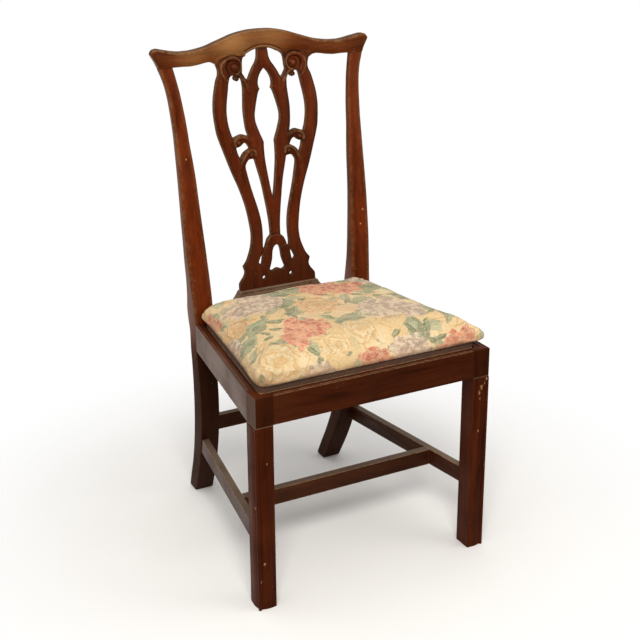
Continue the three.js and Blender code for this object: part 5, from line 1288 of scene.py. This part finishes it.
def finish_pad(pad):
    """Opens the pad below, draws the cloth's small pulls, and lays the print, the soiling with painted shade, and a
    painted shadow band on it.
    """
    shell = bmesh.new()
    shell.from_mesh(pad.data)
    gone = []
    for face in shell.faces:
        x, y, z = face.calc_center_median() / MM
        if z < HEM_TOP and seat_inside(x, y - SHIFT) > HEM_WIDTH:
            gone.append(face)
    bmesh.ops.delete(shell, geom=gone, context="FACES")
    shell.to_mesh(pad.data)
    shell.free()

    mesh = pad.data
    co = read(mesh.vertices, "co")
    x, y, z = (co / MM - (0, SHIFT, 0)).T
    side, inside = seat_side(y), seat_inside(x, y)
    upper = over_rails(z, 9, 17)
    along = np.where(side - np.abs(x) < np.minimum(y - SEAT_FRONT, SEAT_REAR - y), y, x)
    pulls = 1.1 * np.sin(along / 12 + 2.4 * np.sin(along / 37)) * (1 - smooth_step(inside, 0, 60))
    for cy in (SEAT_FRONT, SEAT_REAR):
        for cx in (seat_side(cy), -seat_side(cy)):
            r, turn = np.hypot(x - cx, y - cy), np.arctan2(y - cy, x - cx)
            pulls += 1.8 * np.sin(turn * 9 + 0.6 * np.sin(r / 9)) * np.exp(-r / 38) * smooth_step(r, 4, 16)
    lumps = 1.5 * np.sin(x / 41 + 1.3) * np.sin(y / 47 + 0.4) + 0.9 * np.sin(x / 19 + y / 23 + np.sin(y / 31))
    lumps += 0.5 * np.sin(x / 7.5 + 1.5 * np.sin(y / 22)) * np.sin(y / 9.5 + 1.3 * np.sin(x / 26))
    height = (pulls + lumps * smooth_step(inside, -4, 40)) * upper
    mesh.vertices.foreach_set("co", (co + read(mesh.vertices, "normal") * (height * MM)[:, None]).ravel())
    mesh.update()

    # The print: the plan of the top, unrolled down the sides
    inner = 14.0
    px, py = np.clip(x, inner - side, side - inner), np.clip(y, SEAT_FRONT + inner, SEAT_REAR - inner)
    dx, dy = x - px, y - py
    flat = np.hypot(dx, dy)
    down = np.maximum(0, SEAT_HEIGHT + CROWN - inner - z) * smooth_step(flat, 0.5, 8)
    scale = np.where(flat > 0.01, np.hypot(flat, down) / np.maximum(flat, 0.01), 1)
    uv = np.column_stack([px + dx * scale, py + dy * scale + SHIFT]) * MM
    corners = np.empty(len(mesh.loops), int)
    mesh.loops.foreach_get("vertex_index", corners)
    mesh.uv_layers.new(name="print").data.foreach_set("uv", uv[corners].ravel())

    # Soiling with painted shade: low on the sides, at the front left corner and along the left side
    low = 1 - over_rails(z, 9, 26)
    corner = np.exp(-np.hypot(x + seat_side(SEAT_FRONT), y - SEAT_FRONT) / 30)
    add_attribute(mesh, "soil_and_shade", 0.62 * low * (inside < 8) + 0.42 * corner + 0.25 * (inside < 2) * (x < 0))
    # A painted shadow band on the cloth just above the lip, where it turns under
    add_attribute(mesh, "shadow_band",
                  over_rails(z, -4, -1) * (1 - over_rails(z, 11, 16)) * (1 - smooth_step(inside, 3, 8)))
    mesh.materials.clear()
    mesh.materials.append(FLORAL)
    mesh.shade_smooth()
    modify(pad, "SOLIDIFY", thickness=MM, offset=-1)
    modify(pad, "SUBSURF", levels=1, render_levels=1)


FLORAL = floral("floral_cotton")
pad = build_pad()
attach(pad, "slip_seat")
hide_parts("seat_cover", "seat_stuffing")


# Floor, light and camera

def shown_rays(g):
    """1 for the rays that show a surface: from the camera, mirrored or through glass."""
    camera, glossy, through = (g.field("ShaderNodeLightPath", output=f"Is {word} Ray")
                               for word in ("Camera", "Glossy", "Transmission"))
    return camera.math("MAXIMUM", glossy).math("MAXIMUM", through)


def build_floor():
    mesh = bpy.data.meshes.new("floor")
    mesh.from_pydata([(-6, -6, 0), (6, -6, 0), (6, 6, 0), (-6, 6, 0)], [], [(0, 1, 2, 3)])
    g = material_graph("floor")
    place = g.objects()
    pale = g.mix(place.noise(3.0, 2.0).step(0.3, 0.7), (0.955, 0.955, 0.95), (0.975, 0.974, 0.97))
    # Only the rays that show the floor, straight or mirrored, see it pale
    g.finish(Base_Color=g.mix(shown_rays(g), (0.30, 0.29, 0.28), pale), Roughness=0.9, Specular_IOR_Level=0.1)
    solid = Field(g, g.tree.nodes["Principled BSDF"].outputs[0])
    blend = g.field("ShaderNodeMixShader", {0: place.math("LENGTH").step(0.32, 0.9), 1: solid,
                                            2: g.field("ShaderNodeBsdfTransparent")})
    g.feed(g.tree.nodes["Material Output"].inputs["Surface"], blend)
    mesh.materials.append(g.owner)
    add_object("floor", mesh)


def area_light(name, place, aim, size, power, color=(1, 1, 1)):
    data = bpy.data.lights.new(name, "AREA")
    data.shape = "RECTANGLE"
    data.size, data.size_y = size
    data.energy = power
    data.color = color
    light = add_object(name, data)
    light.location = place
    light.rotation_euler = (Vector(aim) - Vector(place)).to_track_quat("-Z", "Y").to_euler()


def build_world():
    g = Graph(bpy.data.worlds.new("studio"))
    SCENE.world = g.owner
    way = g.field("ShaderNodeTexCoord", output="Generated")
    above = way.math("DOT_PRODUCT", (-0.25, -0.25, 0.93)).step(-0.35, 0.95, 0.16, 0.85, "LINEAR")
    soft = g.field("ShaderNodeBackground", {"Color": (1.0, 0.98, 0.95), "Strength": above})
    # Mirrored rays find the white backdrop behind the chair, and a dim room in front of it
    behind = way.math("DOT_PRODUCT", (-0.30, 0.95, 0.0)).step(-0.25, 0.35, 0.05)
    straight = g.field("ShaderNodeLightPath", output="Is Camera Ray")
    back = g.tree.nodes["Background"]
    g.feed(back.inputs["Strength"], straight.math("MAXIMUM", behind))
    g.feed(back.inputs["Color"], g.mix(straight, (1.0, 0.93, 0.84), (1.0, 1.0, 1.0)))
    blend = g.field("ShaderNodeMixShader", {0: shown_rays(g), 1: soft, 2: Field(g, back.outputs[0])})
    g.feed(g.tree.nodes["World Output"].inputs["Surface"], blend)


def build_camera():
    """The camera that took the photograph, turned by its yaw, pitch and roll."""
    place, yaw, pitch, roll = (-1.04924, -2.02262, 1.33001), 0.484114, 0.337405, -0.005125
    data = bpy.data.cameras.new("camera")
    camera = add_object("camera", data)
    forward = Vector((math.sin(yaw) * math.cos(pitch), math.cos(yaw) * math.cos(pitch), -math.sin(pitch)))
    level = Vector((math.cos(yaw), -math.sin(yaw), 0.0))
    above = level.cross(forward)
    right = level * math.cos(roll) + above * math.sin(roll)
    up = above * math.cos(roll) - level * math.sin(roll)
    camera.matrix_world = Matrix.Translation(place) @ Matrix((right, up, -forward)).transposed().to_4x4()
    data.sensor_width, data.lens, data.shift_y, data.clip_end = 36.0, 68.857, -0.0625, 60.0
    SCENE.camera = camera


build_floor()
build_world()
area_light("key", (-0.9, -1.9, 2.3), (0, 0, 0.6), (1.0, 0.8), 44, (1.0, 0.95, 0.88))
area_light("fill", (1.7, -1.5, 1.4), (0, 0, 0.6), (1.2, 1.2), 8, (1.0, 0.95, 0.9))
build_camera()
SCENE.view_settings.view_transform = "Standard"
